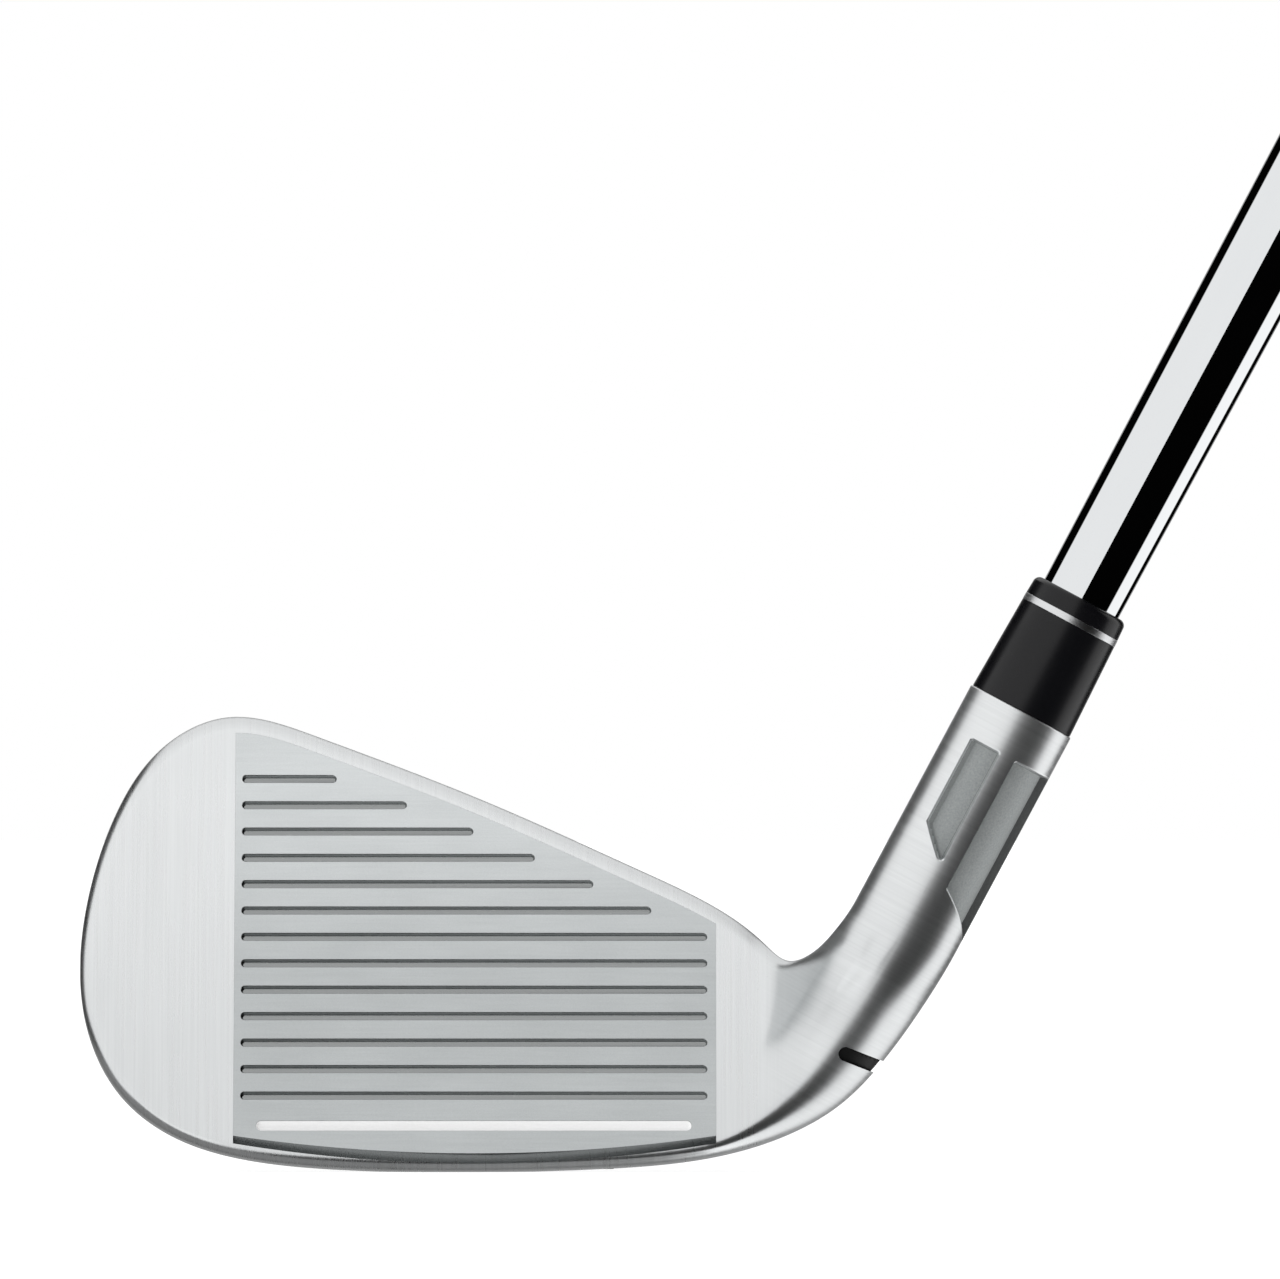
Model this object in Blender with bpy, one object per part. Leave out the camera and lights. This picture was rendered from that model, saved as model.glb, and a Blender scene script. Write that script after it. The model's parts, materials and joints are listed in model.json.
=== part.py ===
"""A right-handed cavity-back iron golf club, standing at address.

Frame: the origin is the point of the sole that touches the ground, +Z is up, the striking face
looks along -Y, the toe points along -X and the shaft leans towards +X. Dimensions below are in
millimetres; objects are made in metres. "Height" h is the distance along the shaft's axis from
the ground point, so it is the local Z of everything that is turned about the shaft.
"""
import math

import bmesh
import bpy
import numpy as np
from mathutils import Vector
from mathutils.kdtree import KDTree

MM = 0.001
GAP = 0.3                       # clearance kept between touching pieces

# The club as a whole
LIE = math.radians(61.8)        # shaft axis above the ground
LOFT = math.radians(28.5)       # face plane back from vertical
CLUB_LENGTH = 940.0             # ground to grip cap along the shaft
GROUND_X = 34.2                 # where the shaft's axis meets the ground
AXIS_Y = -7.5                   # the shaft's axis lies in this plane

# Blade
FACE_FOOT_Y = -10.4             # the face plane at ground level
BACK_FOOT_Y = 10.0              # the rear plane at ground level
BACK_SLOPE = 0.276              # rear plane, y per z
HEEL_DRAW = 6.0                 # how far the rear comes forward at the heel
HEEL_DRAW_LENGTH = 16.0
TOE_X = -45.3
FAN_X = 34.5                    # upright sections end here and fan round to the hosel
SOLE_DROP = 0.15                # how far the sole's curve dips below the flat it stands on
TOP_RIM = {"front": 1.7, "back": 3.0, "depth": 2.2, "front_power": 2.0, "back_power": 2.2}
SOLE_RIM = {"front": 2.2, "back": 3.2, "depth": 10.4, "front_power": 2.8, "back_power": 3.0}
HEEL_RIM = {"front": 6.3, "back": 5.0, "depth": 8.0, "front_power": 2.0, "back_power": 2.2}
HEEL_RIM_X = (26.0, 43.0)       # the sole's rim becomes the heel's between these
RIM_CHANGE = (20.0, 3.0)        # heights between which the topline's rim becomes the sole's
HEEL_LIFT = 26.0                # how much higher that change lies on the neck's heel side
HEEL_LIFT_RUN = (-6.0, 0.0)     # distances past the neck's ridge over which it gets there

# Neck
RIDGE_BEND = 14.2               # how far the neck's ridge swings from the shaft's axis at z = 0
RIDGE_FADE = 6.5                # height over which that swing fades
RIDGE_RISE = (3.0, 27.0)        # heights up the shaft between which it comes forward to the hosel
FLANK = math.radians(66.0)      # slope of the neck's side towards the toe
FLANK_FILLET = 7.0              # from that side into the face
NECK_TUBE = (25.0, 31.9)        # heights up the shaft between which the neck becomes a plain tube

# Hosel
HOSEL_R = 6.45
HOSEL_START = 31.9
HOSEL_TOP = 59.8
BORE_BOTTOM = 31.0
FLUTE_FLOOR_R = 5.5
FLUTE_TOP = 54.5
FLUTES = ((-35.2, 1.0, 43.6, 39.9), (17.8, 89.0, 37.9, 33.0))   # degrees, feet at those angles
NOTCH = {"centre": (45.9, 12.1), "half_length": 4.6, "half_width": 0.82}
NOTCH_TURN = math.radians(-22.0)

# Face plate
PLATE_DEPTH = 2.6               # along Y
PLATE_HALF = 27.6               # half its length along the ground
PLATE_MARGIN = 1.85             # topline left above the plate
CHAMFER_DEPTH = 0.8
PAD_HEIGHT = 23.5               # middle of the thicker pad behind the plate
PAD_RADIUS = 9.5
LEDGE = 1.6
GROOVES = 13
GROOVE_PITCH = 3.01
LOWEST_GROOVE = 8.75
GROOVE_WIDTH = 0.85
GROOVE_DEPTH = 0.45
GROOVE_LEFT = -26.8
GROOVE_RIGHT = 26.6
GROOVE_MARGIN = 4.0             # height from a line's end up to the topline
LINE = (5.35, -25.0, 24.8, 1.15)    # the wide lowest line: height, left, right, width

# Cavity and cap
CAVITY_RIGHT = 21.0
CAVITY_FLOOR = 5.5
CAVITY_MARGIN = 5.6
FACE_WALL = 3.4                 # body left in front of the cavity, along Y
WINDOW_DEPTH = 7.0              # the opening behind the plate reaches this far into the cavity
CAP_LAP = 1.5
CAP_SEAT = 2.4                  # depth of the cap's seat below the rear plane
CAP_THICKNESS = 1.4
CAP_SINK = 0.1
BADGE_DEPTH = 0.7
DAMPER = {"left": -20.0, "right": 18.0, "low": 7.5, "high": 14.0, "depth": 3.5, "slots": 4}
SLOT = {"centre": (0.0, -2.4), "half_length": 16.0, "half_width": 1.0}

# Shaft, ferrule and grip
TIP_H = 32.0
TIP_DIAMETER = 9.05
SHAFT_TAPER = 0.0125            # diameter per length, up to the first step
SHAFT_WALL = 0.6
FIRST_STEP_H = 150.0
STEP_COUNT = 13
STEP_LENGTH = 40.0
BUTT_DIAMETER = 15.24
FERRULE_TOP = 74.4
FERRULE_RING = (71.3, 72.1)
GRIP_MOUTH_H = 673.0
GRIP_CAP_LENGTH = 6.0
BAND = (560.0, 588.0)
FAR = 60.0                      # well clear of the head, front and back

# The head's outline seen face-on, from the heel side of the hosel, along the sole and round the
# toe, over the topline and down into the crotch beside the hosel.
OUTLINE = (
    (50.9, 18.4), (46.3, 12.1), (41.7, 7.5), (37.1, 4.7), (28.0, 1.7), (14.3, 0.25),
    (-3.0, -SOLE_DROP), (-17.0, 0.25), (-26.9, 1.4), (-34.4, 3.8), (-40.5, 8.4), (-44.1, 15.0),
    (TOE_X, 22.0), (-44.4, 31.5), (-41.5, 40.5), (-36.2, 48.3), (-28.9, 51.9), (-18.5, 49.8),
    (0.6, 42.5), (18.9, 34.4), (28.0, 29.9), (33.2, 26.0), (36.0, 24.1), (38.5, 25.0),
    (41.2, 27.7),
)


def along(direction, distance, start=(GROUND_X, 0.0)):
    return np.array(start) + distance * np.array(direction)


AXIS = np.array((math.cos(LIE), math.sin(LIE)))       # up the shaft, in XZ
ACROSS = np.array((math.sin(LIE), -math.cos(LIE)))    # towards the heel, in XZ


def smoothstep(value):
    t = np.clip(value, 0.0, 1.0)
    return t * t * (3.0 - 2.0 * t)


def clamped_spline(points, start_slope, end_slope, samples):
    """Cubic spline by chord length through the points, with the given directions at its ends."""
    pts = np.array(points, float)
    knots = np.concatenate(([0.0], np.cumsum(np.linalg.norm(np.diff(pts, axis=0), axis=1))))
    gaps = np.diff(knots)
    rates = np.diff(pts, axis=0) / gaps[:, None]
    n = len(pts)
    matrix = np.zeros((n, n))
    right = np.zeros((n, 2))
    matrix[0, 0] = 1.0
    matrix[-1, -1] = 1.0
    right[0] = start_slope
    right[-1] = end_slope
    for i in range(1, n - 1):
        matrix[i, i - 1] = gaps[i]
        matrix[i, i] = 2.0 * (gaps[i - 1] + gaps[i])
        matrix[i, i + 1] = gaps[i - 1]
        right[i] = 3.0 * (gaps[i] * rates[i - 1] + gaps[i - 1] * rates[i])
    slopes = np.linalg.solve(matrix, right)
    t = np.linspace(0.0, knots[-1], samples)
    k = np.clip(np.searchsorted(knots, t, side="right") - 1, 0, n - 2)
    u = ((t - knots[k]) / gaps[k])[:, None]
    g = gaps[k][:, None]
    return ((2 * u**3 - 3 * u**2 + 1) * pts[k] + (u**3 - 2 * u**2 + u) * g * slopes[k]
            + (3 * u**2 - 2 * u**3) * pts[k + 1] + (u**3 - u**2) * g * slopes[k + 1])


def head_outline():
    """The whole outline as a dense curve, and the index of the toe's tip on it."""
    heel = along(AXIS, HOSEL_START) + HOSEL_R * ACROSS
    inner = along(AXIS, HOSEL_START) - HOSEL_R * ACROSS
    points = [tuple(heel), *OUTLINE, tuple(inner)]
    curve = clamped_spline(points, -AXIS, AXIS, 1600)
    return curve, int(np.argmin(curve[:, 0]))


CURVE, TIP = head_outline()
SOLE_SIDE = CURVE[:TIP + 1][::-1]      # toe to heel
TOP_SIDE = CURVE[TIP:]                 # toe to hosel


def make_tree(points):
    tree = KDTree(len(points))
    for i, (x, z) in enumerate(points):
        tree.insert((x, 0.0, z), i)
    tree.balance()
    return tree


TREE = make_tree(CURVE)


def sole_z(x):
    return np.interp(x, SOLE_SIDE[:, 0], SOLE_SIDE[:, 1])


def top_z(x):
    return np.interp(x, TOP_SIDE[:, 0], TOP_SIDE[:, 1])


def face_y(z):
    return FACE_FOOT_Y + math.tan(LOFT) * z


def into_face(x, z, depth):
    """The point at a depth square to the face, below the face's point at (x, z)."""
    return (x, face_y(z) + depth * math.cos(LOFT), z - depth * math.sin(LOFT))


def back_y(z):
    return BACK_FOOT_Y + BACK_SLOPE * z


def rear_y(x, z):
    """The rear surface: a plane behind the cavity, drawn in towards the heel."""
    return back_y(z) - HEEL_DRAW * smoothstep((x - CAVITY_RIGHT - CAP_LAP) / HEEL_DRAW_LENGTH)


def outline_distance(x, z):
    """Distance from points to the outline, measured to the nearest of its short chords."""
    points = np.stack((x.ravel(), z.ravel()), axis=1)
    nearest = np.array([TREE.find((px, 0.0, pz))[1] for px, pz in points])
    best = np.full(len(points), np.inf)
    for shift in (-1, 0):
        k = np.clip(nearest + shift, 0, len(CURVE) - 2)
        chord = CURVE[k + 1] - CURVE[k]
        share = np.sum((points - CURVE[k]) * chord, axis=1) / np.sum(chord * chord, axis=1)
        foot = CURVE[k] + np.clip(share, 0.0, 1.0)[:, None] * chord
        best = np.minimum(best, np.linalg.norm(points - foot, axis=1))
    return best.reshape(x.shape)


def rounding(distance, radius, power):
    """How far a rounded edge has dropped at a distance inside the outline, from 0 to 1."""
    t = np.clip(1.0 - distance / radius, 0.0, 1.0)
    return 1.0 - (1.0 - t**power) ** (1.0 / power)


def mix(first, second, share):
    return first + (second - first) * share


def rise(value, limits):
    return smoothstep((value - limits[0]) / (limits[1] - limits[0]))


def past_ridge(x, z):
    """Distance towards the heel from the neck's ridge, which bends away from the shaft's axis."""
    bend = RIDGE_BEND * np.exp(-z / RIDGE_FADE)
    ridge_x = GROUND_X + z * AXIS[0] / AXIS[1] - bend
    return (x - ridge_x) / np.hypot(1.0, AXIS[0] / AXIS[1] + bend / RIDGE_FADE)


def rim_sizes(x, z):
    """The rim's sizes at points of the blade: the topline's, then the sole's, rounder at the heel."""
    heel = rise(x, HEEL_RIM_X)
    lift = HEEL_LIFT * rise(past_ridge(x, z), HEEL_LIFT_RUN)
    start, end = RIM_CHANGE
    sole = smoothstep((start - z + lift) / (start - end))
    return {key: mix(TOP_RIM[key], mix(SOLE_RIM[key], HEEL_RIM[key], heel), sole) for key in TOP_RIM}


def flank_drop(x, z):
    """How far the neck falls away to its ridge's toe side: round like the hosel, then straight."""
    beside = np.maximum(-past_ridge(x, z), 0.0)
    bent = np.minimum(beside, HOSEL_R * math.sin(FLANK))
    return HOSEL_R - np.sqrt(HOSEL_R**2 - bent**2) + (beside - bent) * math.tan(FLANK)


def filleted(first, second, width):
    """The more forward of two surfaces, with a fillet where they meet."""
    share = np.clip(0.5 + (second - first) / (2.0 * width), 0.0, 1.0)
    return mix(second, first, share) - width * share * (1.0 - share)


def neck_front(x, z):
    """The front before its edges are rounded, and how much of it is the hosel's plain tube.

    A ridge leaves the face low at the heel, bends upwards and comes forward to the hosel's front.
    """
    h = (x - GROUND_X) * AXIS[0] + z * AXIS[1]
    forward = rise(h, RIDGE_RISE)
    ridge_y = mix(face_y(z), AXIS_Y - HOSEL_R, forward)
    neck_y = filleted(face_y(z), ridge_y + flank_drop(x, z), 0.01 + FLANK_FILLET * forward)
    tube = rise(h, NECK_TUBE)
    return mix(neck_y, AXIS_Y - HOSEL_R, tube), tube


def surface_y(x, z, front):
    """The head's front or back: a plane on the blade and a tube at the hosel, rounded at the rim."""
    outer, tube = neck_front(x, z)
    rim = rim_sizes(x, z)
    edge = mix(outer + rim["depth"], AXIS_Y, tube)
    side = "front" if front else "back"
    radius = mix(rim[side], HOSEL_R, tube)
    power = mix(rim[side + "_power"], 2.0, tube)
    if not front:
        forward = (face_y(z) - outer) / (face_y(z) - AXIS_Y + HOSEL_R)
        outer = mix(rear_y(x, z), AXIS_Y + HOSEL_R, forward)
    return mix(outer, edge, rounding(outline_distance(x, z), radius, power))


def column_share(columns, length, hosel_weight, rim_top, rim_sole):
    """Where a section's columns lie, 0 at the topline and 1 at the sole."""
    s = np.linspace(0.0, 1.0, columns)
    top = min(rim_top / length, 0.3)
    sole = min(rim_sole / length, 0.3)
    share = top + (s - 0.2) / 0.6 * (1.0 - top - sole)
    share = np.where(s < 0.2, top * (1.0 - np.cos(np.clip(s / 0.2, 0, 1) * math.pi / 2)), share)
    low = 1.0 - sole * (1.0 - np.cos(np.clip((1.0 - s) / 0.2, 0, 1) * math.pi / 2))
    share = np.where(s > 0.8, low, share)
    round_share = (1.0 - np.cos(math.pi * s)) / 2.0
    return (1.0 - hosel_weight) * share + hosel_weight * round_share


def section_ring(top, sole, hosel_weight, columns, radius=None):
    """One closed ring of points: down the front from topline to sole, and back up behind.

    With a radius, the ring is a circle about the shaft's axis.
    """
    length = np.linalg.norm(sole - top)
    sides = []
    for front in (True, False):
        side = "front" if front else "back"
        share = column_share(columns, length, hosel_weight, TOP_RIM[side], SOLE_RIM[side])
        x = top[0] + share * (sole[0] - top[0])
        z = top[1] + share * (sole[1] - top[1])
        if radius is None:
            y = surface_y(x, z, front)
        else:
            bulge = radius * np.sqrt(np.clip(1.0 - (2.0 * share - 1.0) ** 2, 0.0, None))
            y = AXIS_Y - bulge if front else AXIS_Y + bulge
        sides.append(np.stack((x, y, z), axis=1))
    return np.concatenate((sides[0], sides[1][-2:0:-1]))


def curve_share(curve, start_x, shares):
    """Points along the part of a curve past start_x, at shares of its length."""
    part = curve[curve[:, 0] >= start_x]
    steps = np.linalg.norm(np.diff(part, axis=0), axis=1)
    length = np.concatenate(([0.0], np.cumsum(steps)))
    wanted = np.asarray(shares) * length[-1]
    return np.stack([np.interp(wanted, length, part[:, i]) for i in (0, 1)], axis=1)


def head_rings(columns, toe_steps, blade_steps, fan_steps, hosel_steps):
    """Rings from the toe's tip to the top of the hosel."""
    toe_width = 14.0
    bend = np.linspace(0.0, math.pi / 2, toe_steps + 1)[1:]
    xs = list(TOE_X + toe_width * (1.0 - np.cos(bend)))
    xs += list(np.linspace(xs[-1], FAN_X, blade_steps + 1)[1:])
    rings = []
    for x in xs:
        top = np.array((x, top_z(x)))
        sole = np.array((x, sole_z(x)))
        rings.append(section_ring(top, sole, 0.0, columns))
    turn = np.linspace(0.0, 1.0, fan_steps + 1)[1:]
    tops = curve_share(TOP_SIDE, FAN_X, turn)
    soles = curve_share(SOLE_SIDE, FAN_X, turn)
    for q, top, sole in zip(turn, tops, soles):
        rings.append(section_ring(top, sole, float(smoothstep(q)), columns))
    for h in np.linspace(HOSEL_START, HOSEL_TOP, hosel_steps + 1)[1:]:
        reach = HOSEL_R * ACROSS
        centre = along(AXIS, h)
        rings.append(section_ring(centre - reach, centre + reach, 1.0, columns, HOSEL_R))
    return rings


# Scene helpers

def clear_scene():
    for item in list(bpy.data.objects):
        bpy.data.objects.remove(item, do_unlink=True)


def finish(name, colour, roughness, metallic):
    made = bpy.data.materials.new(name)
    made.use_nodes = True
    shader = made.node_tree.nodes["Principled BSDF"]
    shader.inputs["Base Color"].default_value = (*colour, 1.0)
    shader.inputs["Roughness"].default_value = roughness
    shader.inputs["Metallic"].default_value = metallic
    return made


def add_object(name, bm, material=None, parent=None, smooth_angle=30.0):
    bmesh.ops.recalc_face_normals(bm, faces=bm.faces)
    mesh = bpy.data.meshes.new(name)
    bm.to_mesh(mesh)
    bm.free()
    mesh.shade_smooth()
    mesh.set_sharp_from_angle(angle=math.radians(smooth_angle))
    made = bpy.data.objects.new(name, mesh)
    bpy.context.scene.collection.objects.link(made)
    made.parent = parent
    if material:
        mesh.materials.append(material)
    return made


def add_cutter(name, bm, parent=None):
    made = add_object(name, bm, parent=parent)
    made.hide_render = True
    made.display_type = "WIRE"
    return made


def boolean(target, tool, operation="DIFFERENCE"):
    modifier = target.modifiers.new(tool.name, "BOOLEAN")
    modifier.operation = operation
    modifier.solver = "EXACT"
    modifier.object = tool


def skin(rings, start_point=None):
    """Quads between closed rings, with a fan from start_point and a flat lid at the far end."""
    bm = bmesh.new()
    loops = [[bm.verts.new(Vector(p) * MM) for p in ring] for ring in rings]
    count = len(loops[0])
    for a, b in zip(loops, loops[1:]):
        for i in range(count):
            j = (i + 1) % count
            bm.faces.new((a[i], a[j], b[j], b[i]))
    if start_point is None:
        bm.faces.new(loops[0])
    else:
        tip = bm.verts.new(Vector(start_point) * MM)
        for i in range(count):
            bm.faces.new((tip, loops[0][i], loops[0][(i + 1) % count]))
    bm.faces.new(loops[-1])
    return bm


def slab(outline, front, back):
    """A flat-faced solid: an outline in XZ, from y = front(z) to y = back(z)."""
    rings = [[(x, limit(z), z) for x, z in outline] for limit in (front, back)]
    return skin(rings)


def plan_prism(outline, low, high):
    """An outline in XY, from z = low to z = high."""
    return skin([[(x, y, z) for x, y in outline] for z in (low, high)])


def turned(profile, segments):
    """A closed profile of (radius, height) points, spun about the local Z axis."""
    bm = bmesh.new()
    points = [bm.verts.new((r * MM, 0.0, h * MM)) for r, h in profile]
    edges = [bm.edges.new((points[i - 1], points[i])) for i in range(len(points))]
    bmesh.ops.spin(bm, geom=points + edges, cent=(0, 0, 0), axis=(0, 0, 1), dvec=(0, 0, 0),
                   angle=math.tau, steps=segments, use_merge=True, use_duplicate=False)
    bmesh.ops.remove_doubles(bm, verts=bm.verts, dist=1e-7)
    return bm


def plane_behind(surface, depth):
    return lambda z: surface(z) + depth


def far_front(z):
    return -FAR


def far_back(z):
    return FAR


# Outlines, all in XZ

def plate_foot(x):
    return 1.08 + 2.25 * (x / PLATE_HALF) ** 2


def chamfer_top(x):
    return 2.2 + 2.0 * (x / PLATE_HALF) ** 2


def plate_outline(grow, foot, steps=12):
    """The plate's outline, counter-clockwise from its lower left corner."""
    xs = np.linspace(-PLATE_HALF - grow, PLATE_HALF + grow, steps + 1)
    lower = [(x, foot(x) - grow) for x in xs]
    upper = [(x, top_z(x) - PLATE_MARGIN + grow) for x in xs[::-1]]
    return lower + upper


def cavity_outline(grow, steps=30):
    """The head's outline drawn in by the cavity's margin, cut off at its floor and heel side."""
    reach = CURVE[CURVE[:, 0] < CAVITY_RIGHT + 12.0]
    steps_along = np.gradient(reach, axis=0)
    inward = np.stack((steps_along[:, 1], -steps_along[:, 0]), axis=1)
    inward /= np.linalg.norm(inward, axis=1)[:, None]
    inner = reach + (CAVITY_MARGIN - grow) * inward
    inner = inner[inner[:, 0] <= CAVITY_RIGHT + grow]
    inner[:, 1] = np.maximum(inner[:, 1], CAVITY_FLOOR - grow)
    length = np.concatenate(([0.0], np.cumsum(np.linalg.norm(np.diff(inner, axis=0), axis=1))))
    wanted = np.linspace(0.0, length[-1], steps)
    return [(float(np.interp(w, length, inner[:, 0])), float(np.interp(w, length, inner[:, 1])))
            for w in wanted]


def badge_outline(grow):
    """A leaning four-sided panel in the cap."""
    return [(-22.0 - grow, 13.5 - grow), (12.0 + grow, 11.0 - grow),
            (7.0 + grow, 24.0 + grow), (-26.0 - grow, 33.0 + grow)]


def grown(hole, amount):
    """A long hole's sizes with its outline moved outwards."""
    return {"centre": hole["centre"], "half_length": hole["half_length"] + amount,
            "half_width": hole["half_width"] + amount}


def stadium(centre, half_length, half_width, steps=6, turn=0.0):
    """A long hole with round ends, its long direction turned from the first axis."""
    points = []
    for end, start in ((1, -90), (-1, 90)):
        for i in range(steps + 1):
            angle = math.radians(start + 180.0 * i / steps)
            u = end * (half_length - half_width) + half_width * math.cos(angle)
            v = half_width * math.sin(angle)
            points.append((centre[0] + u * math.cos(turn) - v * math.sin(turn),
                           centre[1] + u * math.sin(turn) + v * math.cos(turn)))
    return points


# The head

def make_head_skin(name, material):
    """The head's outer shape, trimmed flat where it stands."""
    rings = head_rings(columns=21, toe_steps=12, blade_steps=12, fan_steps=18, hosel_steps=2)
    tip_z = float(CURVE[TIP, 1])
    tip = (TOE_X, face_y(tip_z) + TOP_RIM["depth"], tip_z)
    head = add_object(name, skin(rings, tip), material)
    ground = plan_prism([(-FAR, -FAR), (FAR, -FAR), (FAR, FAR), (-FAR, FAR)], -5.0, 0.0)
    boolean(head, add_cutter(f"cut_ground_{name}", ground))
    return head


def flute_cutter(name, shaft_line, start, end, left_foot, right_foot):
    """A pocket with a floor concentric with the hosel and a foot that slants at 45 degrees."""
    outer_r = HOSEL_R + 2.0
    angles = np.radians(np.linspace(start, end, 7))
    rings = []
    for angle in angles:
        share = (angle - angles[0]) / (angles[-1] - angles[0])
        foot = left_foot + share * (right_foot - left_foot)
        s, c = math.sin(angle), math.cos(angle)
        section = ((FLUTE_FLOOR_R, foot), (outer_r, foot), (outer_r, FLUTE_TOP),
                   (FLUTE_FLOOR_R, FLUTE_TOP))
        rings.append([(r * s, -r * c, h) for r, h in section])
    return add_cutter(name, skin(rings), shaft_line)


def make_head_body(steel, shaft_line):
    body = make_head_skin("head_body", steel)
    seat = slab(plate_outline(GAP, plate_foot), far_front, plane_behind(face_y, PLATE_DEPTH + GAP))
    boolean(body, add_cutter("cut_plate_seat", seat))
    window = slab(plate_outline(-LEDGE, lambda x: CAVITY_FLOOR - LEDGE), far_front,
                  plane_behind(face_y, WINDOW_DEPTH))
    boolean(body, add_cutter("cut_window", window))
    cavity = slab(cavity_outline(0.0), plane_behind(face_y, FACE_WALL), far_back)
    boolean(body, add_cutter("cut_cavity", cavity))
    cap_seat = slab(cavity_outline(CAP_LAP), plane_behind(back_y, -CAP_SEAT), far_back)
    boolean(body, add_cutter("cut_cap_seat", cap_seat))
    bore = turned([(0, BORE_BOTTOM), (shaft_radius(BORE_BOTTOM) + GAP, BORE_BOTTOM),
                   (shaft_radius(HOSEL_TOP + 3) + GAP, HOSEL_TOP + 3), (0, HOSEL_TOP + 3)], 32)
    boolean(body, add_cutter("cut_bore", bore, shaft_line))
    for i, flute in enumerate(FLUTES):
        boolean(body, flute_cutter(f"cut_flute_{i + 1}", shaft_line, *flute))
    boolean(body, add_cutter("cut_notch", slab(notch_outline(0.0), far_front, far_back)))
    slot = plan_prism(stadium(**SLOT), -2.0, CAVITY_FLOOR + 2.0)
    boolean(body, add_cutter("cut_sole_slot", slot))


def notch_outline(grow):
    """The slot that enters from the heel side, leaning down towards the heel."""
    return stadium(**grown(NOTCH, grow), turn=NOTCH_TURN)


def make_notch_insert(polymer):
    insert = make_head_skin("hosel_notch_insert", polymer)
    core = slab(notch_outline(-GAP), far_front, far_back)
    boolean(insert, add_cutter("keep_notch", core), "INTERSECT")
    return insert


def make_face_plate(steel):
    """The striking plate: a chamfered leading edge, score lines and a thicker pad behind."""
    front = plate_outline(0.0, chamfer_top)
    middle = plate_outline(0.0, plate_foot)
    count = len(front) // 2
    chamfer = [(x, face_y(top) + CHAMFER_DEPTH, foot)
               for (x, foot), (_, top) in zip(middle[:count], front[:count])]
    rings = [
        [(x, face_y(z), z) for x, z in front],
        chamfer + [(x, face_y(z) + CHAMFER_DEPTH, z) for x, z in middle[count:]],
        [(x, face_y(z) + PLATE_DEPTH, z) for x, z in middle],
    ]
    plate = add_object("face_plate", skin(rings), steel)
    pad = []
    turns = np.arange(24) * math.tau / 24
    for radius, depth in ((PAD_RADIUS, -0.5), (PAD_RADIUS, 0.0), (PAD_RADIUS - 3.0, 0.8)):
        ring = [(radius * math.cos(a), PAD_HEIGHT + radius * math.sin(a)) for a in turns]
        pad.append([(x, face_y(z) + PLATE_DEPTH + depth, z) for x, z in ring])
    boolean(plate, add_cutter("add_pad", skin(pad)), "UNION")
    boolean(plate, add_cutter("cut_grooves", groove_cutters()))


def groove_spans():
    """(z, left, right, width) of the wide lowest line and of each score line above it."""
    falling = TOP_SIDE[TOP_SIDE[:, 0] > LINE[1]]
    spans = [LINE]
    for i in range(GROOVES):
        z = LOWEST_GROOVE + i * GROOVE_PITCH
        topline_x = float(np.interp(-z - GROOVE_MARGIN, -falling[:, 1], falling[:, 0]))
        spans.append((z, GROOVE_LEFT, min(GROOVE_RIGHT, topline_x), GROOVE_WIDTH))
    return spans


def groove_cutters():
    """Every score line as a bar with slanting sides, joined in one mesh of separate bodies."""
    combined = bmesh.new()
    for z, left, right, width in groove_spans():
        middle = ((left + right) / 2.0, z)
        rings = []
        for depth, share in ((-1.0, 1.0), (0.0, 1.0), (GROOVE_DEPTH, 0.45)):
            outline = stadium(middle, (right - left) / 2.0, width / 2.0 * share, steps=3)
            rings.append([into_face(x, zz, depth) for x, zz in outline])
        bar = skin(rings)
        mesh = bpy.data.meshes.new("bar")
        bar.to_mesh(mesh)
        bar.free()
        combined.from_mesh(mesh)
        bpy.data.meshes.remove(mesh)
    return combined


def make_cap(cap_finish, badge_finish, foam):
    lap = CAP_LAP - GAP
    inner = CAP_THICKNESS + CAP_SINK
    cap = add_object("back_cap", slab(cavity_outline(lap), plane_behind(back_y, -inner),
                                      plane_behind(back_y, -CAP_SINK)), cap_finish)
    recess = slab(badge_outline(0.0), plane_behind(back_y, -CAP_SINK - BADGE_DEPTH), far_back)
    boolean(cap, add_cutter("cut_badge", recess))
    badge = slab(badge_outline(-GAP), plane_behind(back_y, -CAP_SINK - BADGE_DEPTH + GAP),
                 plane_behind(back_y, -CAP_SINK + 0.1))
    add_object("cap_badge", badge, badge_finish)
    gasket = slab(cavity_outline(lap), plane_behind(back_y, GAP - CAP_SEAT),
                  plane_behind(back_y, -inner - GAP))
    gasket = add_object("cap_gasket", gasket, foam)
    hole = slab(cavity_outline(0.2), far_front, far_back)
    boolean(gasket, add_cutter("cut_gasket", hole))


def make_cavity_pieces(rubber, tungsten):
    left, right, low, high = (DAMPER[key] for key in ("left", "right", "low", "high"))
    front = PLATE_DEPTH + GAP
    bar = slab([(left, low), (right, low), (right, high), (left, high)],
               plane_behind(face_y, front), plane_behind(face_y, front + DAMPER["depth"]))
    bar = add_object("damper_bar", bar, rubber)
    pitch = (right - left) / (DAMPER["slots"] + 1)
    for i in range(1, DAMPER["slots"] + 1):
        x = left + pitch * i
        slot = slab([(x - 1.0, low + 2.5), (x + 1.0, low + 2.5), (x + 1.0, high + 2.0),
                     (x - 1.0, high + 2.0)], far_front, far_back)
        boolean(bar, add_cutter(f"cut_damper_{i}", slot))
    weight = slab([(-35, 13.0), (-28, 9.8), (-28, 18.0), (-36, 20.0)],
                  plane_behind(face_y, FACE_WALL + GAP), plane_behind(face_y, FACE_WALL + 6.0))
    add_object("toe_weight", weight, tungsten)


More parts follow.
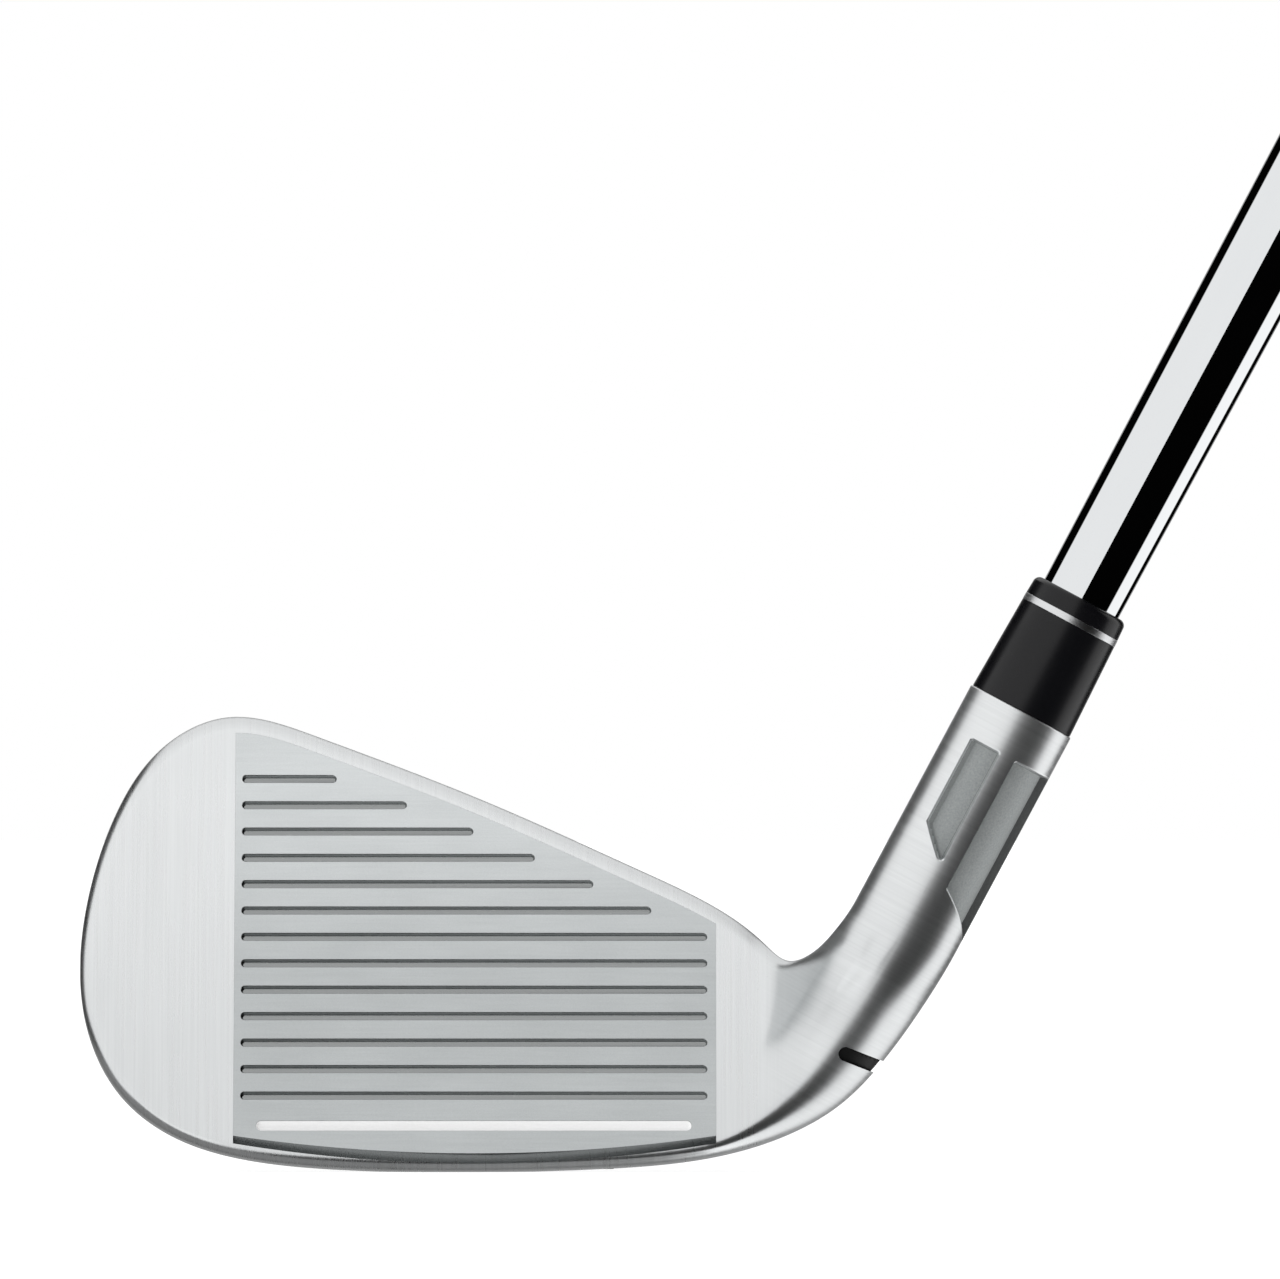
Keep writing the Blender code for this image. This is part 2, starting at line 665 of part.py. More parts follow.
def make_slot_insert(polymer):
    """The slot's filler, held by a flange on the cavity's floor."""
    insert = plan_prism(stadium(**grown(SLOT, -GAP)), 0.35, CAVITY_FLOOR + 0.9)
    insert = add_object("sole_slot_insert", insert, polymer)
    flange = plan_prism([(-13, -3.3), (13, -3.3), (13, 0.3), (-13, 0.3)], CAVITY_FLOOR + 0.5,
                        CAVITY_FLOOR + 1.4)
    boolean(insert, add_cutter("add_flange", flange), "UNION")


# Everything turned about the shaft's axis

def shaft_radius(h):
    """The shaft's outer radius: a smooth taper, then equal steps up to the butt."""
    smooth = TIP_DIAMETER + SHAFT_TAPER * (min(h, FIRST_STEP_H) - TIP_H)
    steps = min(STEP_COUNT, max(0, math.floor((h - FIRST_STEP_H) / STEP_LENGTH) + 1))
    before = TIP_DIAMETER + SHAFT_TAPER * (FIRST_STEP_H - TIP_H)
    step = (BUTT_DIAMETER - before) / STEP_COUNT
    return (smooth + step * steps) / 2.0


def sleeve(name, material, shaft_line, outer, inner, segments=32):
    """A tube from its outer profile, bottom to top, and its inner one, top to bottom."""
    return add_object(name, turned(list(outer) + list(inner), segments), material, shaft_line)


def make_shaft(chrome, tungsten, film, cork, shaft_line):
    butt_h = CLUB_LENGTH - 1.5
    outer = [(shaft_radius(TIP_H), TIP_H)]
    for i in range(STEP_COUNT):
        h = FIRST_STEP_H + i * STEP_LENGTH
        outer.append((shaft_radius(h - 2.0), h - 1.0))
        outer.append((shaft_radius(h), h))
    outer.append((BUTT_DIAMETER / 2, butt_h))
    inner = [(BUTT_DIAMETER / 2 - SHAFT_WALL, butt_h)]
    inner += [(r - SHAFT_WALL, h) for r, h in outer[-2::-1]]
    sleeve("shaft", chrome, shaft_line, outer, inner, 24)
    pin_r = shaft_radius(TIP_H) - SHAFT_WALL - GAP
    pin = [(0, TIP_H), (pin_r - 0.5, TIP_H), (pin_r, TIP_H + 0.5), (pin_r, TIP_H + 18),
           (0, TIP_H + 18)]
    sleeve("tip_weight", tungsten, shaft_line, pin, [], 16)
    plug = [(0, TIP_H + 18.3), (pin_r, TIP_H + 18.3), (pin_r, TIP_H + 26), (0, TIP_H + 26)]
    sleeve("tip_cork", cork, shaft_line, plug, [], 16)
    r = shaft_radius(BAND[0]) + GAP
    sleeve("shaft_band", film, shaft_line, [(r + 0.2, BAND[0]), (r + 0.2, BAND[1])],
           [(r, BAND[1]), (r, BAND[0])])


def ferrule_radius(h):
    return 6.27 - 0.44 * (h - HOSEL_TOP) / (FERRULE_TOP - HOSEL_TOP)


def make_ferrule(black, silver, shaft_line):
    low, high = FERRULE_RING
    pieces = (("ferrule_sleeve", black, HOSEL_TOP + GAP, low - GAP),
              ("ferrule_ring", silver, low, high),
              ("ferrule_collar", black, high + GAP, FERRULE_TOP))
    bore = shaft_radius(FERRULE_TOP) + GAP
    for name, material, start, end in pieces:
        outer = [(ferrule_radius(start), start), (ferrule_radius(end), end)]
        if name == "ferrule_collar":
            outer[1:] = [(ferrule_radius(end), end - 0.6), (ferrule_radius(end) - 0.6, end)]
        sleeve(name, material, shaft_line, outer, [(bore, end), (bore, start)])


def grip_radius(h):
    share = (h - GRIP_MOUTH_H) / (CLUB_LENGTH - GRIP_MOUTH_H)
    return 9.7 + 2.6 * share + 1.2 * max(0.0, share - 0.8) / 0.2


def make_grip(rubber, tape, shaft_line):
    butt_r = BUTT_DIAMETER / 2
    cap_start = CLUB_LENGTH - GRIP_CAP_LENGTH
    layer = butt_r + GAP
    sleeve("grip_tape", tape, shaft_line,
           [(layer + 0.2, GRIP_MOUTH_H + 6), (layer + 0.2, cap_start - 2)],
           [(layer, cap_start - 2), (layer, GRIP_MOUTH_H + 6)])
    heights = np.linspace(GRIP_MOUTH_H + 1.5, cap_start - GAP, 11)
    outer = [(8.9, GRIP_MOUTH_H), (9.7, GRIP_MOUTH_H + 0.6)]
    outer += [(grip_radius(h), h) for h in heights]
    bore = layer + 0.2 + GAP
    sleeve("grip_sleeve", rubber, shaft_line, outer, [(bore, heights[-1]), (bore, GRIP_MOUTH_H)])
    rim = grip_radius(cap_start)
    sleeve("grip_cap", rubber, shaft_line,
           [(rim, cap_start), (rim + 0.4, cap_start + 2.5), (rim - 0.3, CLUB_LENGTH - 1.0),
            (rim - 1.5, CLUB_LENGTH), (1.6, CLUB_LENGTH)],
           [(1.6, CLUB_LENGTH - 1.5 + GAP), (bore, CLUB_LENGTH - 1.5 + GAP), (bore, cap_start)])


def main():
    clear_scene()
    steel = finish("satin_steel", (0.62, 0.63, 0.63), 0.35, 1.0)
    blasted = finish("blasted_steel", (0.50, 0.52, 0.52), 0.5, 1.0)
    chrome = finish("chrome", (0.85, 0.86, 0.87), 0.05, 1.0)
    silver = finish("polished_ring", (0.80, 0.80, 0.80), 0.2, 1.0)
    black = finish("black_plastic", (0.012, 0.012, 0.013), 0.35, 0.0)
    polymer = finish("black_polymer", (0.01, 0.01, 0.01), 0.6, 0.0)
    cap_finish = finish("cap_grey", (0.09, 0.095, 0.10), 0.4, 0.0)
    badge_finish = finish("badge_metal", (0.55, 0.56, 0.57), 0.3, 1.0)
    foam = finish("gasket_foam", (0.02, 0.02, 0.02), 0.9, 0.0)
    rubber = finish("grip_rubber", (0.015, 0.015, 0.016), 0.8, 0.0)
    tungsten = finish("tungsten", (0.30, 0.30, 0.31), 0.45, 1.0)
    film = finish("band_film", (0.03, 0.03, 0.035), 0.3, 0.0)
    cork = finish("tip_cork", (0.45, 0.30, 0.17), 0.9, 0.0)
    tape = finish("grip_tape", (0.75, 0.73, 0.66), 0.8, 0.0)

    shaft_line = bpy.data.objects.new("shaft_line", None)
    bpy.context.scene.collection.objects.link(shaft_line)
    shaft_line.location = (GROUND_X * MM, AXIS_Y * MM, 0.0)
    shaft_line.rotation_euler = (0.0, math.pi / 2 - LIE, 0.0)

    make_head_body(steel, shaft_line)
    make_notch_insert(polymer)
    make_face_plate(blasted)
    make_cap(cap_finish, badge_finish, foam)
    make_cavity_pieces(polymer, tungsten)
    make_slot_insert(polymer)
    make_ferrule(black, silver, shaft_line)
    make_shaft(chrome, tungsten, film, cork, shaft_line)
    make_grip(rubber, tape, shaft_line)
    bpy.context.view_layer.update()


main()
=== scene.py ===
"""The looks of a right-handed iron golf club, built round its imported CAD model.

The shapes below repeat the CAD's own formulas at a finer pitch, in millimetres, and every mesh is
made in metres in the CAD frame: the sole stands on z = 0, the face looks along -Y and the toe
along -X. "Height" h is the distance up the shaft's axis from the ground.
"""
import json
import math

import bmesh
import bpy
import numpy as np
from mathutils.kdtree import KDTree
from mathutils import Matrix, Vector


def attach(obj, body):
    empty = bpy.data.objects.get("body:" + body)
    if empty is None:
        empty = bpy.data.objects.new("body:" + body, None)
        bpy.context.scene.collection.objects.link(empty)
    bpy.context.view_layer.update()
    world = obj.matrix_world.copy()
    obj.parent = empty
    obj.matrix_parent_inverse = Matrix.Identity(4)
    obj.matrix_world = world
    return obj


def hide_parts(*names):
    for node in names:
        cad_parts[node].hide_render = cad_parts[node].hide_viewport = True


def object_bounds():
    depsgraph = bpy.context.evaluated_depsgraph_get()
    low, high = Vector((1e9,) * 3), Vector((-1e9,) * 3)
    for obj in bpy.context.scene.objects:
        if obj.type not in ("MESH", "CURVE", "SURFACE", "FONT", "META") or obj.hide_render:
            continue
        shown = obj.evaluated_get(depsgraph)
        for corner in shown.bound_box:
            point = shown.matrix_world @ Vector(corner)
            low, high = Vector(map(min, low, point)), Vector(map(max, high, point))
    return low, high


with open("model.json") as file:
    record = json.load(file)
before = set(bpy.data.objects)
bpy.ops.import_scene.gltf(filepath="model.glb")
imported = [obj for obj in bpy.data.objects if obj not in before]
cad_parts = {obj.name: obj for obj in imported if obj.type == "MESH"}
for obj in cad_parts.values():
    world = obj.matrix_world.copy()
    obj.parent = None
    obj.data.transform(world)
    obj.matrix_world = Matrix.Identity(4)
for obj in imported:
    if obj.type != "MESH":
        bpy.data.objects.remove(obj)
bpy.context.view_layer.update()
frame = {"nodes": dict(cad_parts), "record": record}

MM = 0.001
SEAM = 0.012                    # hairline between pieces that touch
CAD_GAP = 0.3                   # between the same pieces in the CAD model
MOUNTS = {mount["name"]: mount for mount in frame["record"]["mounts"]}

# The shaft's axis, from the mount on it
HOLD = np.array(MOUNTS["grip_hold"]["pos_m"]) / MM
AXIS3 = np.array(MOUNTS["butt_face"]["axis"])
GROUND = HOLD - AXIS3 * HOLD[2] / AXIS3[2]
AXIS_Y = GROUND[1]
AXIS = AXIS3[[0, 2]]                                  # up the shaft, in XZ
ACROSS = np.array((AXIS[1], -AXIS[0]))                # towards the heel, in XZ
ACROSS3 = np.array((AXIS[1], 0.0, -AXIS[0]))
LEAN = math.atan2(AXIS[0], AXIS[1])                   # of the shaft, from upright

# Blade
LOFT = math.radians(28.5)
FACE_FOOT_Y = -10.4             # the face plane at ground level
BACK_FOOT_Y = 10.0              # the rear plane at ground level
BACK_SLOPE = 0.276              # rear plane, y per z
HEEL_DRAW = 6.0                 # how far the rear comes forward at the heel
HEEL_DRAW_LENGTH = 16.0
TOE_X = -45.3
TOE_Z = 22.0
FAN_X = 34.5                    # upright sections end here and fan round to the hosel
RIDGE_BEND = 14.2               # how far the neck's ridge swings from the shaft's axis at z = 0
RIDGE_FADE = 6.5                # height over which that swing fades
RIDGE_RISE = (3.0, 27.0)        # heights up the shaft between which it comes forward to the hosel
FLANK = math.radians(66.0)      # slope of the neck's side towards the toe
FLANK_FILLET = 7.0              # from that side into the face
NECK_TUBE = (25.0, 31.9)        # heights up the shaft between which the neck becomes a plain tube
SOLE_DROP = 0.15                # how far the sole's curve dips below the flat it stands on
TOP_RIM = {"front": 1.7, "back": 3.0, "depth": 2.2, "front_power": 2.0, "back_power": 2.2}
SOLE_RIM = {"front": 2.2, "back": 3.2, "depth": 10.4, "front_power": 2.8, "back_power": 3.0}
HEEL_RIM = {"front": 6.3, "back": 5.0, "depth": 8.0, "front_power": 2.0, "back_power": 2.2}
HEEL_RIM_X = (26.0, 43.0)       # the sole's rim becomes the heel's between these
RIM_CHANGE = (20.0, 3.0)        # heights between which the topline's rim becomes the sole's
HEEL_LIFT = 26.0                # how much higher that change lies on the neck's heel side
HEEL_LIFT_RUN = (-6.0, 0.0)     # distances past the neck's ridge over which it gets there

# Hosel
HOSEL_R = 6.45
HOSEL_START = 31.9
HOSEL_TOP = 59.8
HOSEL_EDGE = 0.2                # rounding of the hosel's top edge
BORE_BOTTOM = 31.5
FLUTE_DEPTH = 0.95              # of the two pockets in the hosel
FLUTE_WALL = 0.36               # width of the pockets' sloping walls
FLUTE_CORNER = 0.4
FLUTE_TOP = 54.5
FLUTES = ((-35.2, 1.0, 43.6, 39.9), (17.8, 89.5, 37.9, 33.0))   # degrees, feet at those angles
FAR_WALL = (85.0, 91.0)         # degrees between which the second pocket's far wall lies
NOTCH = {"centre": (45.9, 12.1), "half_length": 4.6, "half_width": 0.82}
NOTCH_TURN = math.radians(-22.0)
FILLER_SIZE = 0.95              # of the notch's filler against the neck round it

# Face plate
PLATE_DEPTH = 2.6               # along Y
PLATE_HALF = 27.6               # half its length along the ground
PLATE_MARGIN = 1.85             # topline left above the plate
CHAMFER_DEPTH = 0.8
GROOVES = 13
GROOVE_PITCH = 3.01
LOWEST_GROOVE = 8.75
GROOVE_WIDTH = 0.85
GROOVE_DEPTH = 0.5
GROOVE_LEFT = -26.8
GROOVE_RIGHT = 26.6
GROOVE_MARGIN = 4.0             # from a score line's heel end up to the topline
LINE = {"z": 5.35, "left": -25.0, "right": 24.8, "width": 1.15}    # the wide painted one

# Sections of the score lines and of the paint, as (depth below the face, share of the width)
GROOVE_SECTION = ((-0.3, 1.3), (-0.06, 1.3), (0.03, 1.02), (0.10, 0.93), (0.38, 0.76),
                  (0.46, 0.66), (GROOVE_DEPTH, 0.5))
LINE_SECTION = ((-0.3, 1.0), (0.0, 1.0), (0.4, 0.8))
PAINT_SECTION = ((0.30, 0.3), (0.25, 0.6), (0.14, 0.88), (0.05, 1.0), (0.38, 0.85))

# Cavity and cap
LEDGE = 1.6                     # on which the plate rests
CAVITY_RIGHT = 21.0
CAVITY_FLOOR = 5.5
CAVITY_MARGIN = 5.6
CAVITY_SMOOTHING = 6            # passes that round the cavity's corners
FACE_WALL = 3.4                 # body left in front of the cavity, along Y
WINDOW_DEPTH = 7.0              # the opening behind the plate reaches this far into the cavity
CAP_LAP = 1.5
CAP_SEAT = 2.4                  # depth of the cap's seat below the rear plane
CAP_THICKNESS = 1.4
CAP_SINK = 0.1
CAP_FRAME = 2.2                 # width of the raised frame round the cap's field
FIELD_DEPTH = 0.35
BADGE_BORDER = 1.3              # width of the raised border round the badge
BADGE_DEPTH = 0.4
BADGE_PROUD = 0.08
SLOT = {"centre": (0.0, -2.4), "half_length": 16.0, "half_width": 1.0}

# Shaft and grip
SHAFT_WALL = 0.6
BAND_FILM = 0.16
GRIP_LAYER = 0.1                # from the tape to the grip's bore
GRIP_RIM = ((8.9, 0.0), (9.3, 0.15), (9.6, 0.5))    # the mouth's edge: radius, height
PLAIN_MOUTH = 14.0              # the grip's pattern starts this far up and ends this far down
PLAIN_BUTT = 12.0
PANEL_PITCH = 48.0
PANEL_EDGE = 3.0                # plain strip at each end of a panel
DIAMONDS_ROUND = 18.0
DIAMOND_PITCH = 3.4
DIAMOND_CUT = 0.28
RING_CUT = 0.35

FAR_FRONT = -45.0               # y well clear of the head
FAR_BACK = 60.0

# The head's outline seen face-on, from the heel side of the hosel, along the sole and round the
# toe, over the topline and down into the crotch beside the hosel.
OUTLINE = (
    (50.9, 18.4), (46.3, 12.1), (41.7, 7.5), (37.1, 4.7), (28.0, 1.7), (14.3, 0.25),
    (-3.0, -SOLE_DROP), (-17.0, 0.25), (-26.9, 1.4), (-34.4, 3.8), (-40.5, 8.4), (-44.1, 15.0),
    (TOE_X, TOE_Z), (-44.4, 31.5), (-41.5, 40.5), (-36.2, 48.3), (-28.9, 51.9), (-18.5, 49.8),
    (0.6, 42.5), (18.9, 34.4), (28.0, 29.9), (33.2, 26.0), (36.0, 24.1), (38.5, 25.0),
    (41.2, 27.7),
)


def smoothstep(value):
    t = np.clip(value, 0.0, 1.0)
    return t * t * (3.0 - 2.0 * t)


def lengths_along(points):
    """The distance along a line of points, up to each of them."""
    return np.concatenate(([0.0], np.cumsum(np.linalg.norm(np.diff(points, axis=0), axis=1))))


def spread(points, shares):
    """Points in XZ along a line, at shares of its length."""
    length = lengths_along(points)
    wanted = np.asarray(shares) * length[-1]
    return np.stack([np.interp(wanted, length, points[:, i]) for i in (0, 1)], axis=1)


def clamped_spline(points, start_slope, end_slope, samples):
    """Cubic spline by chord length through the points, with the given directions at its ends."""
    pts = np.array(points, float)
    knots = lengths_along(pts)
    gaps = np.diff(knots)
    rates = np.diff(pts, axis=0) / gaps[:, None]
    n = len(pts)
    matrix = np.zeros((n, n))
    right = np.zeros((n, 2))
    matrix[0, 0] = 1.0
    matrix[-1, -1] = 1.0
    right[0] = start_slope
    right[-1] = end_slope
    for i in range(1, n - 1):
        matrix[i, i - 1] = gaps[i]
        matrix[i, i] = 2.0 * (gaps[i - 1] + gaps[i])
        matrix[i, i + 1] = gaps[i - 1]
        right[i] = 3.0 * (gaps[i] * rates[i - 1] + gaps[i - 1] * rates[i])
    slopes = np.linalg.solve(matrix, right)
    t = np.linspace(0.0, knots[-1], samples)
    k = np.clip(np.searchsorted(knots, t, side="right") - 1, 0, n - 2)
    u = ((t - knots[k]) / gaps[k])[:, None]
    g = gaps[k][:, None]
    return ((2 * u**3 - 3 * u**2 + 1) * pts[k] + (u**3 - 2 * u**2 + u) * g * slopes[k]
            + (3 * u**2 - 2 * u**3) * pts[k + 1] + (u**3 - u**2) * g * slopes[k + 1])


def hosel_point(h, side):
    """A point in XZ on the hosel's left (-1) or heel (+1) side, at a height."""
    return GROUND[[0, 2]] + h * AXIS + side * HOSEL_R * ACROSS


CURVE = clamped_spline([hosel_point(HOSEL_START, 1), *OUTLINE, hosel_point(HOSEL_START, -1)],
                       -AXIS, AXIS, 4000)
TIP = int(np.argmin(CURVE[:, 0]))
SOLE_SIDE = CURVE[:TIP + 1][::-1]      # toe to heel
TOP_SIDE = CURVE[TIP:]                 # toe to hosel


def make_tree(points):
    tree = KDTree(len(points))
    for i, (x, z) in enumerate(points):
        tree.insert((x, 0.0, z), i)
    tree.balance()
    return tree


TREE = make_tree(CURVE)


def sole_z(x):
    return np.interp(x, SOLE_SIDE[:, 0], SOLE_SIDE[:, 1])


def top_z(x):
    return np.interp(x, TOP_SIDE[:, 0], TOP_SIDE[:, 1])


def face_y(z):
    return FACE_FOOT_Y + math.tan(LOFT) * z


def back_y(z):
    return BACK_FOOT_Y + BACK_SLOPE * z


def into_face(x, z, depth):
    """The point at a depth square to the face, below the face's point at (x, z)."""
    return (x, face_y(z) + depth * math.cos(LOFT), z - depth * math.sin(LOFT))


def rear_y(x, z):
    return back_y(z) - HEEL_DRAW * smoothstep((x - CAVITY_RIGHT - CAP_LAP) / HEEL_DRAW_LENGTH)


def outline_distance(x, z):
    """Distance from points to the outline, measured to the nearest of its short chords."""
    points = np.stack((x.ravel(), z.ravel()), axis=1)
    nearest = np.array([TREE.find((px, 0.0, pz))[1] for px, pz in points])
    best = np.full(len(points), np.inf)
    for shift in (-1, 0):
        k = np.clip(nearest + shift, 0, len(CURVE) - 2)
        chord = CURVE[k + 1] - CURVE[k]
        share = np.sum((points - CURVE[k]) * chord, axis=1) / np.sum(chord * chord, axis=1)
        foot = CURVE[k] + np.clip(share, 0.0, 1.0)[:, None] * chord
        best = np.minimum(best, np.linalg.norm(points - foot, axis=1))
    return best.reshape(x.shape)


def rounding(distance, radius, power):
    """How far a rounded edge has dropped at a distance inside the outline, from 0 to 1."""
    t = np.clip(1.0 - distance / radius, 0.0, 1.0)
    return 1.0 - (1.0 - t**power) ** (1.0 / power)


def mix(first, second, share):
    return first + (second - first) * share


def rise(value, limits):
    return smoothstep((value - limits[0]) / (limits[1] - limits[0]))


def past_ridge(x, z):
    """Distance towards the heel from the neck's ridge, which bends away from the shaft's axis."""
    bend = RIDGE_BEND * np.exp(-z / RIDGE_FADE)
    ridge_x = GROUND[0] + z * AXIS[0] / AXIS[1] - bend
    return (x - ridge_x) / np.hypot(1.0, AXIS[0] / AXIS[1] + bend / RIDGE_FADE)


def rim_sizes(x, z):
    """The rim's sizes at points of the blade: the topline's, then the sole's, rounder at the heel."""
    heel = rise(x, HEEL_RIM_X)
    lift = HEEL_LIFT * rise(past_ridge(x, z), HEEL_LIFT_RUN)
    start, end = RIM_CHANGE
    sole = smoothstep((start - z + lift) / (start - end))
    return {key: mix(TOP_RIM[key], mix(SOLE_RIM[key], HEEL_RIM[key], heel), sole) for key in TOP_RIM}


def flank_drop(x, z):
    """How far the neck falls away to its ridge's toe side: round like the hosel, then straight."""
    beside = np.maximum(-past_ridge(x, z), 0.0)
    bent = np.minimum(beside, HOSEL_R * math.sin(FLANK))
    return HOSEL_R - np.sqrt(HOSEL_R**2 - bent**2) + (beside - bent) * math.tan(FLANK)


def filleted(first, second, width):
    """The more forward of two surfaces, with a fillet where they meet."""
    share = np.clip(0.5 + (second - first) / (2.0 * width), 0.0, 1.0)
    return mix(second, first, share) - width * share * (1.0 - share)


def neck_front(x, z):
    """The front before its edges are rounded, and how much of it is the hosel's plain tube.

    A ridge leaves the face low at the heel, bends upwards and comes forward to the hosel's front.
    """
    h = (x - GROUND[0]) * AXIS[0] + z * AXIS[1]
    forward = rise(h, RIDGE_RISE)
    ridge_y = mix(face_y(z), AXIS_Y - HOSEL_R, forward)
    neck_y = filleted(face_y(z), ridge_y + flank_drop(x, z), 0.01 + FLANK_FILLET * forward)
    tube = rise(h, NECK_TUBE)
    return mix(neck_y, AXIS_Y - HOSEL_R, tube), tube


def surface_y(x, z, side):
    """The head's front or back: a plane on the blade and a tube at the hosel, rounded at the rim."""
    outer, tube = neck_front(x, z)
    rim = rim_sizes(x, z)
    edge = mix(outer + rim["depth"], AXIS_Y, tube)
    radius = mix(rim[side], HOSEL_R, tube)
    power = mix(rim[side + "_power"], 2.0, tube)
    if side == "back":
        forward = (face_y(z) - outer) / (face_y(z) - AXIS_Y + HOSEL_R)
        outer = mix(rear_y(x, z), AXIS_Y + HOSEL_R, forward)
    return mix(outer, edge, rounding(outline_distance(x, z), radius, power))


def column_share(columns, length, hosel_weight, rim_top, rim_sole):
    """Where a section's columns lie, 0 at the topline and 1 at the sole."""
    s = np.linspace(0.0, 1.0, columns)
    top = min(rim_top / length, 0.3)
    sole = min(rim_sole / length, 0.3)
    share = top + (s - 0.2) / 0.6 * (1.0 - top - sole)
    share = np.where(s < 0.2, top * (1.0 - np.cos(np.clip(s / 0.2, 0, 1) * math.pi / 2)), share)
    low = 1.0 - sole * (1.0 - np.cos(np.clip((1.0 - s) / 0.2, 0, 1) * math.pi / 2))
    share = np.where(s > 0.8, low, share)
    round_share = (1.0 - np.cos(math.pi * s)) / 2.0
    return (1.0 - hosel_weight) * share + hosel_weight * round_share


def section_ring(top, sole, hosel_weight, columns, radius=None):
    """One closed ring of points: down the front from topline to sole, and back up behind.

    With a radius, the ring is a circle about the shaft's axis.
    """
    length = np.linalg.norm(sole - top)
    halves = []
    for side, count in zip(("front", "back"), columns):
        share = column_share(count, length, hosel_weight, TOP_RIM[side], SOLE_RIM[side])
        x = top[0] + share * (sole[0] - top[0])
        z = top[1] + share * (sole[1] - top[1])
        if radius is None:
            y = surface_y(x, z, side)
        else:
            bulge = radius * np.sqrt(np.clip(1.0 - (2.0 * share - 1.0) ** 2, 0.0, None))
            y = AXIS_Y - bulge if side == "front" else AXIS_Y + bulge
        halves.append(np.stack((x, y, np.maximum(z, 0.0)), axis=1))
    return np.concatenate((halves[0], halves[1][-2:0:-1]))


def tube_ring(h, radius, columns):
    """A ring round the shaft's axis, with the same columns as the blade's sections."""
    centre = GROUND[[0, 2]] + h * AXIS
    return section_ring(centre - radius * ACROSS, centre + radius * ACROSS, 1.0, columns, radius)


def head_rings(columns, toe_steps, blade_steps, fan_steps, hosel_steps):
    """Rings from the toe's tip to the top of the hosel, with columns in front and behind."""
    toe_width = 14.0
    bend = np.linspace(0.0, math.pi / 2, toe_steps + 1)[1:]
    xs = list(TOE_X + toe_width * (1.0 - np.cos(bend)))
    xs += list(np.linspace(xs[-1], FAN_X, blade_steps + 1)[1:])
    rings = []
    for x in xs:
        rings.append(section_ring(np.array((x, top_z(x))), np.array((x, sole_z(x))), 0.0, columns))
    turn = np.linspace(0.0, 1.0, fan_steps + 1)[1:]
    tops, soles = (spread(side[side[:, 0] >= FAN_X], turn) for side in (TOP_SIDE, SOLE_SIDE))
    for q, top, sole in zip(turn, tops, soles):
        rings.append(section_ring(top, sole, float(smoothstep(q)), columns))
    for h in np.linspace(HOSEL_START, HOSEL_TOP - HOSEL_EDGE, hosel_steps + 1)[1:]:
        rings.append(tube_ring(h, HOSEL_R, columns))
    return rings


# Mesh helpers

def add_object(name, mesh, smooth_angle=40.0):
    mesh.validate()
    bm = bmesh.new()
    bm.from_mesh(mesh)
    bmesh.ops.recalc_face_normals(bm, faces=bm.faces)
    bm.to_mesh(mesh)
    bm.free()
    mesh.shade_smooth()
    mesh.set_sharp_from_angle(angle=math.radians(smooth_angle))
    made = bpy.data.objects.new(name, mesh)
    bpy.context.scene.collection.objects.link(made)
    return made


def skin(name, rings, start=None, end=None, lids=True):
    """Quads between closed rings, closed at each end by a fan from a point or by one flat lid."""
    rings = np.array(rings, float)
    count = rings.shape[1]
    points = [rings.reshape(-1, 3)]
    column = np.arange(count)
    beside = (column + 1) % count
    base = np.arange(len(rings) - 1)[:, None] * count
    quads = np.stack((base + column, base + beside, base + count + beside, base + count + column), -1)
    faces = quads.reshape(-1, 4).tolist()
    total = len(rings) * count
    for tip, first in ((start, 0), (end, total - count)):
        if tip is not None:
            faces += [[total, first + i, first + j] for i, j in zip(column, beside)]
            points.append(np.array([tip], float))
            total += 1
        elif lids:
            faces.append((first + column).tolist())
    mesh = bpy.data.meshes.new(name)
    mesh.from_pydata((np.concatenate(points) * MM).tolist(), [], faces)
    return mesh


def slab(name, outline, front, back):
    """An outline in XZ between two limits in y, each a value or a function of z."""
    rings = []
    for limit in (front, back):
        rings.append([(x, limit(z) if callable(limit) else limit, z) for x, z in outline])
    return skin(name, rings)


def plan_prism(name, outline, low, high):
    """An outline in XY, from z = low to z = high."""
    return skin(name, [[(x, y, z) for x, y in outline] for z in (low, high)])


def weld(mesh):
    """Joins the points that coincide."""
    bm = bmesh.new()
    bm.from_mesh(mesh)
    bmesh.ops.remove_doubles(bm, verts=bm.verts, dist=1e-7)
    bm.to_mesh(mesh)
    bm.free()


def outward(angle):
    """Directions away from the shaft's axis, at angles round it."""
    return np.cos(angle)[:, None] * ACROSS3 + np.sin(angle)[:, None] * np.array((0.0, 1.0, 0.0))


def turned(name, profile, segments=128):
    """A closed profile of (radius, height) points, turned about the shaft's axis."""
    profile = np.array(profile, float)
    out = outward(np.arange(segments) * math.tau / segments)
    points = GROUND + profile[None, :, 1:] * AXIS3 + profile[None, :, :1] * out[:, None, :]
    count = len(profile)
    row = np.arange(segments)[:, None] * count
    next_row = (row + count) % (segments * count)
    i = np.arange(count)
    j = (i + 1) % count
    quads = np.stack((row + i, row + j, next_row + j, next_row + i), -1).reshape(-1, 4)
    mesh = bpy.data.meshes.new(name)
    mesh.from_pydata((points.reshape(-1, 3) * MM).tolist(), [], quads.tolist())
    weld(mesh)
    return mesh


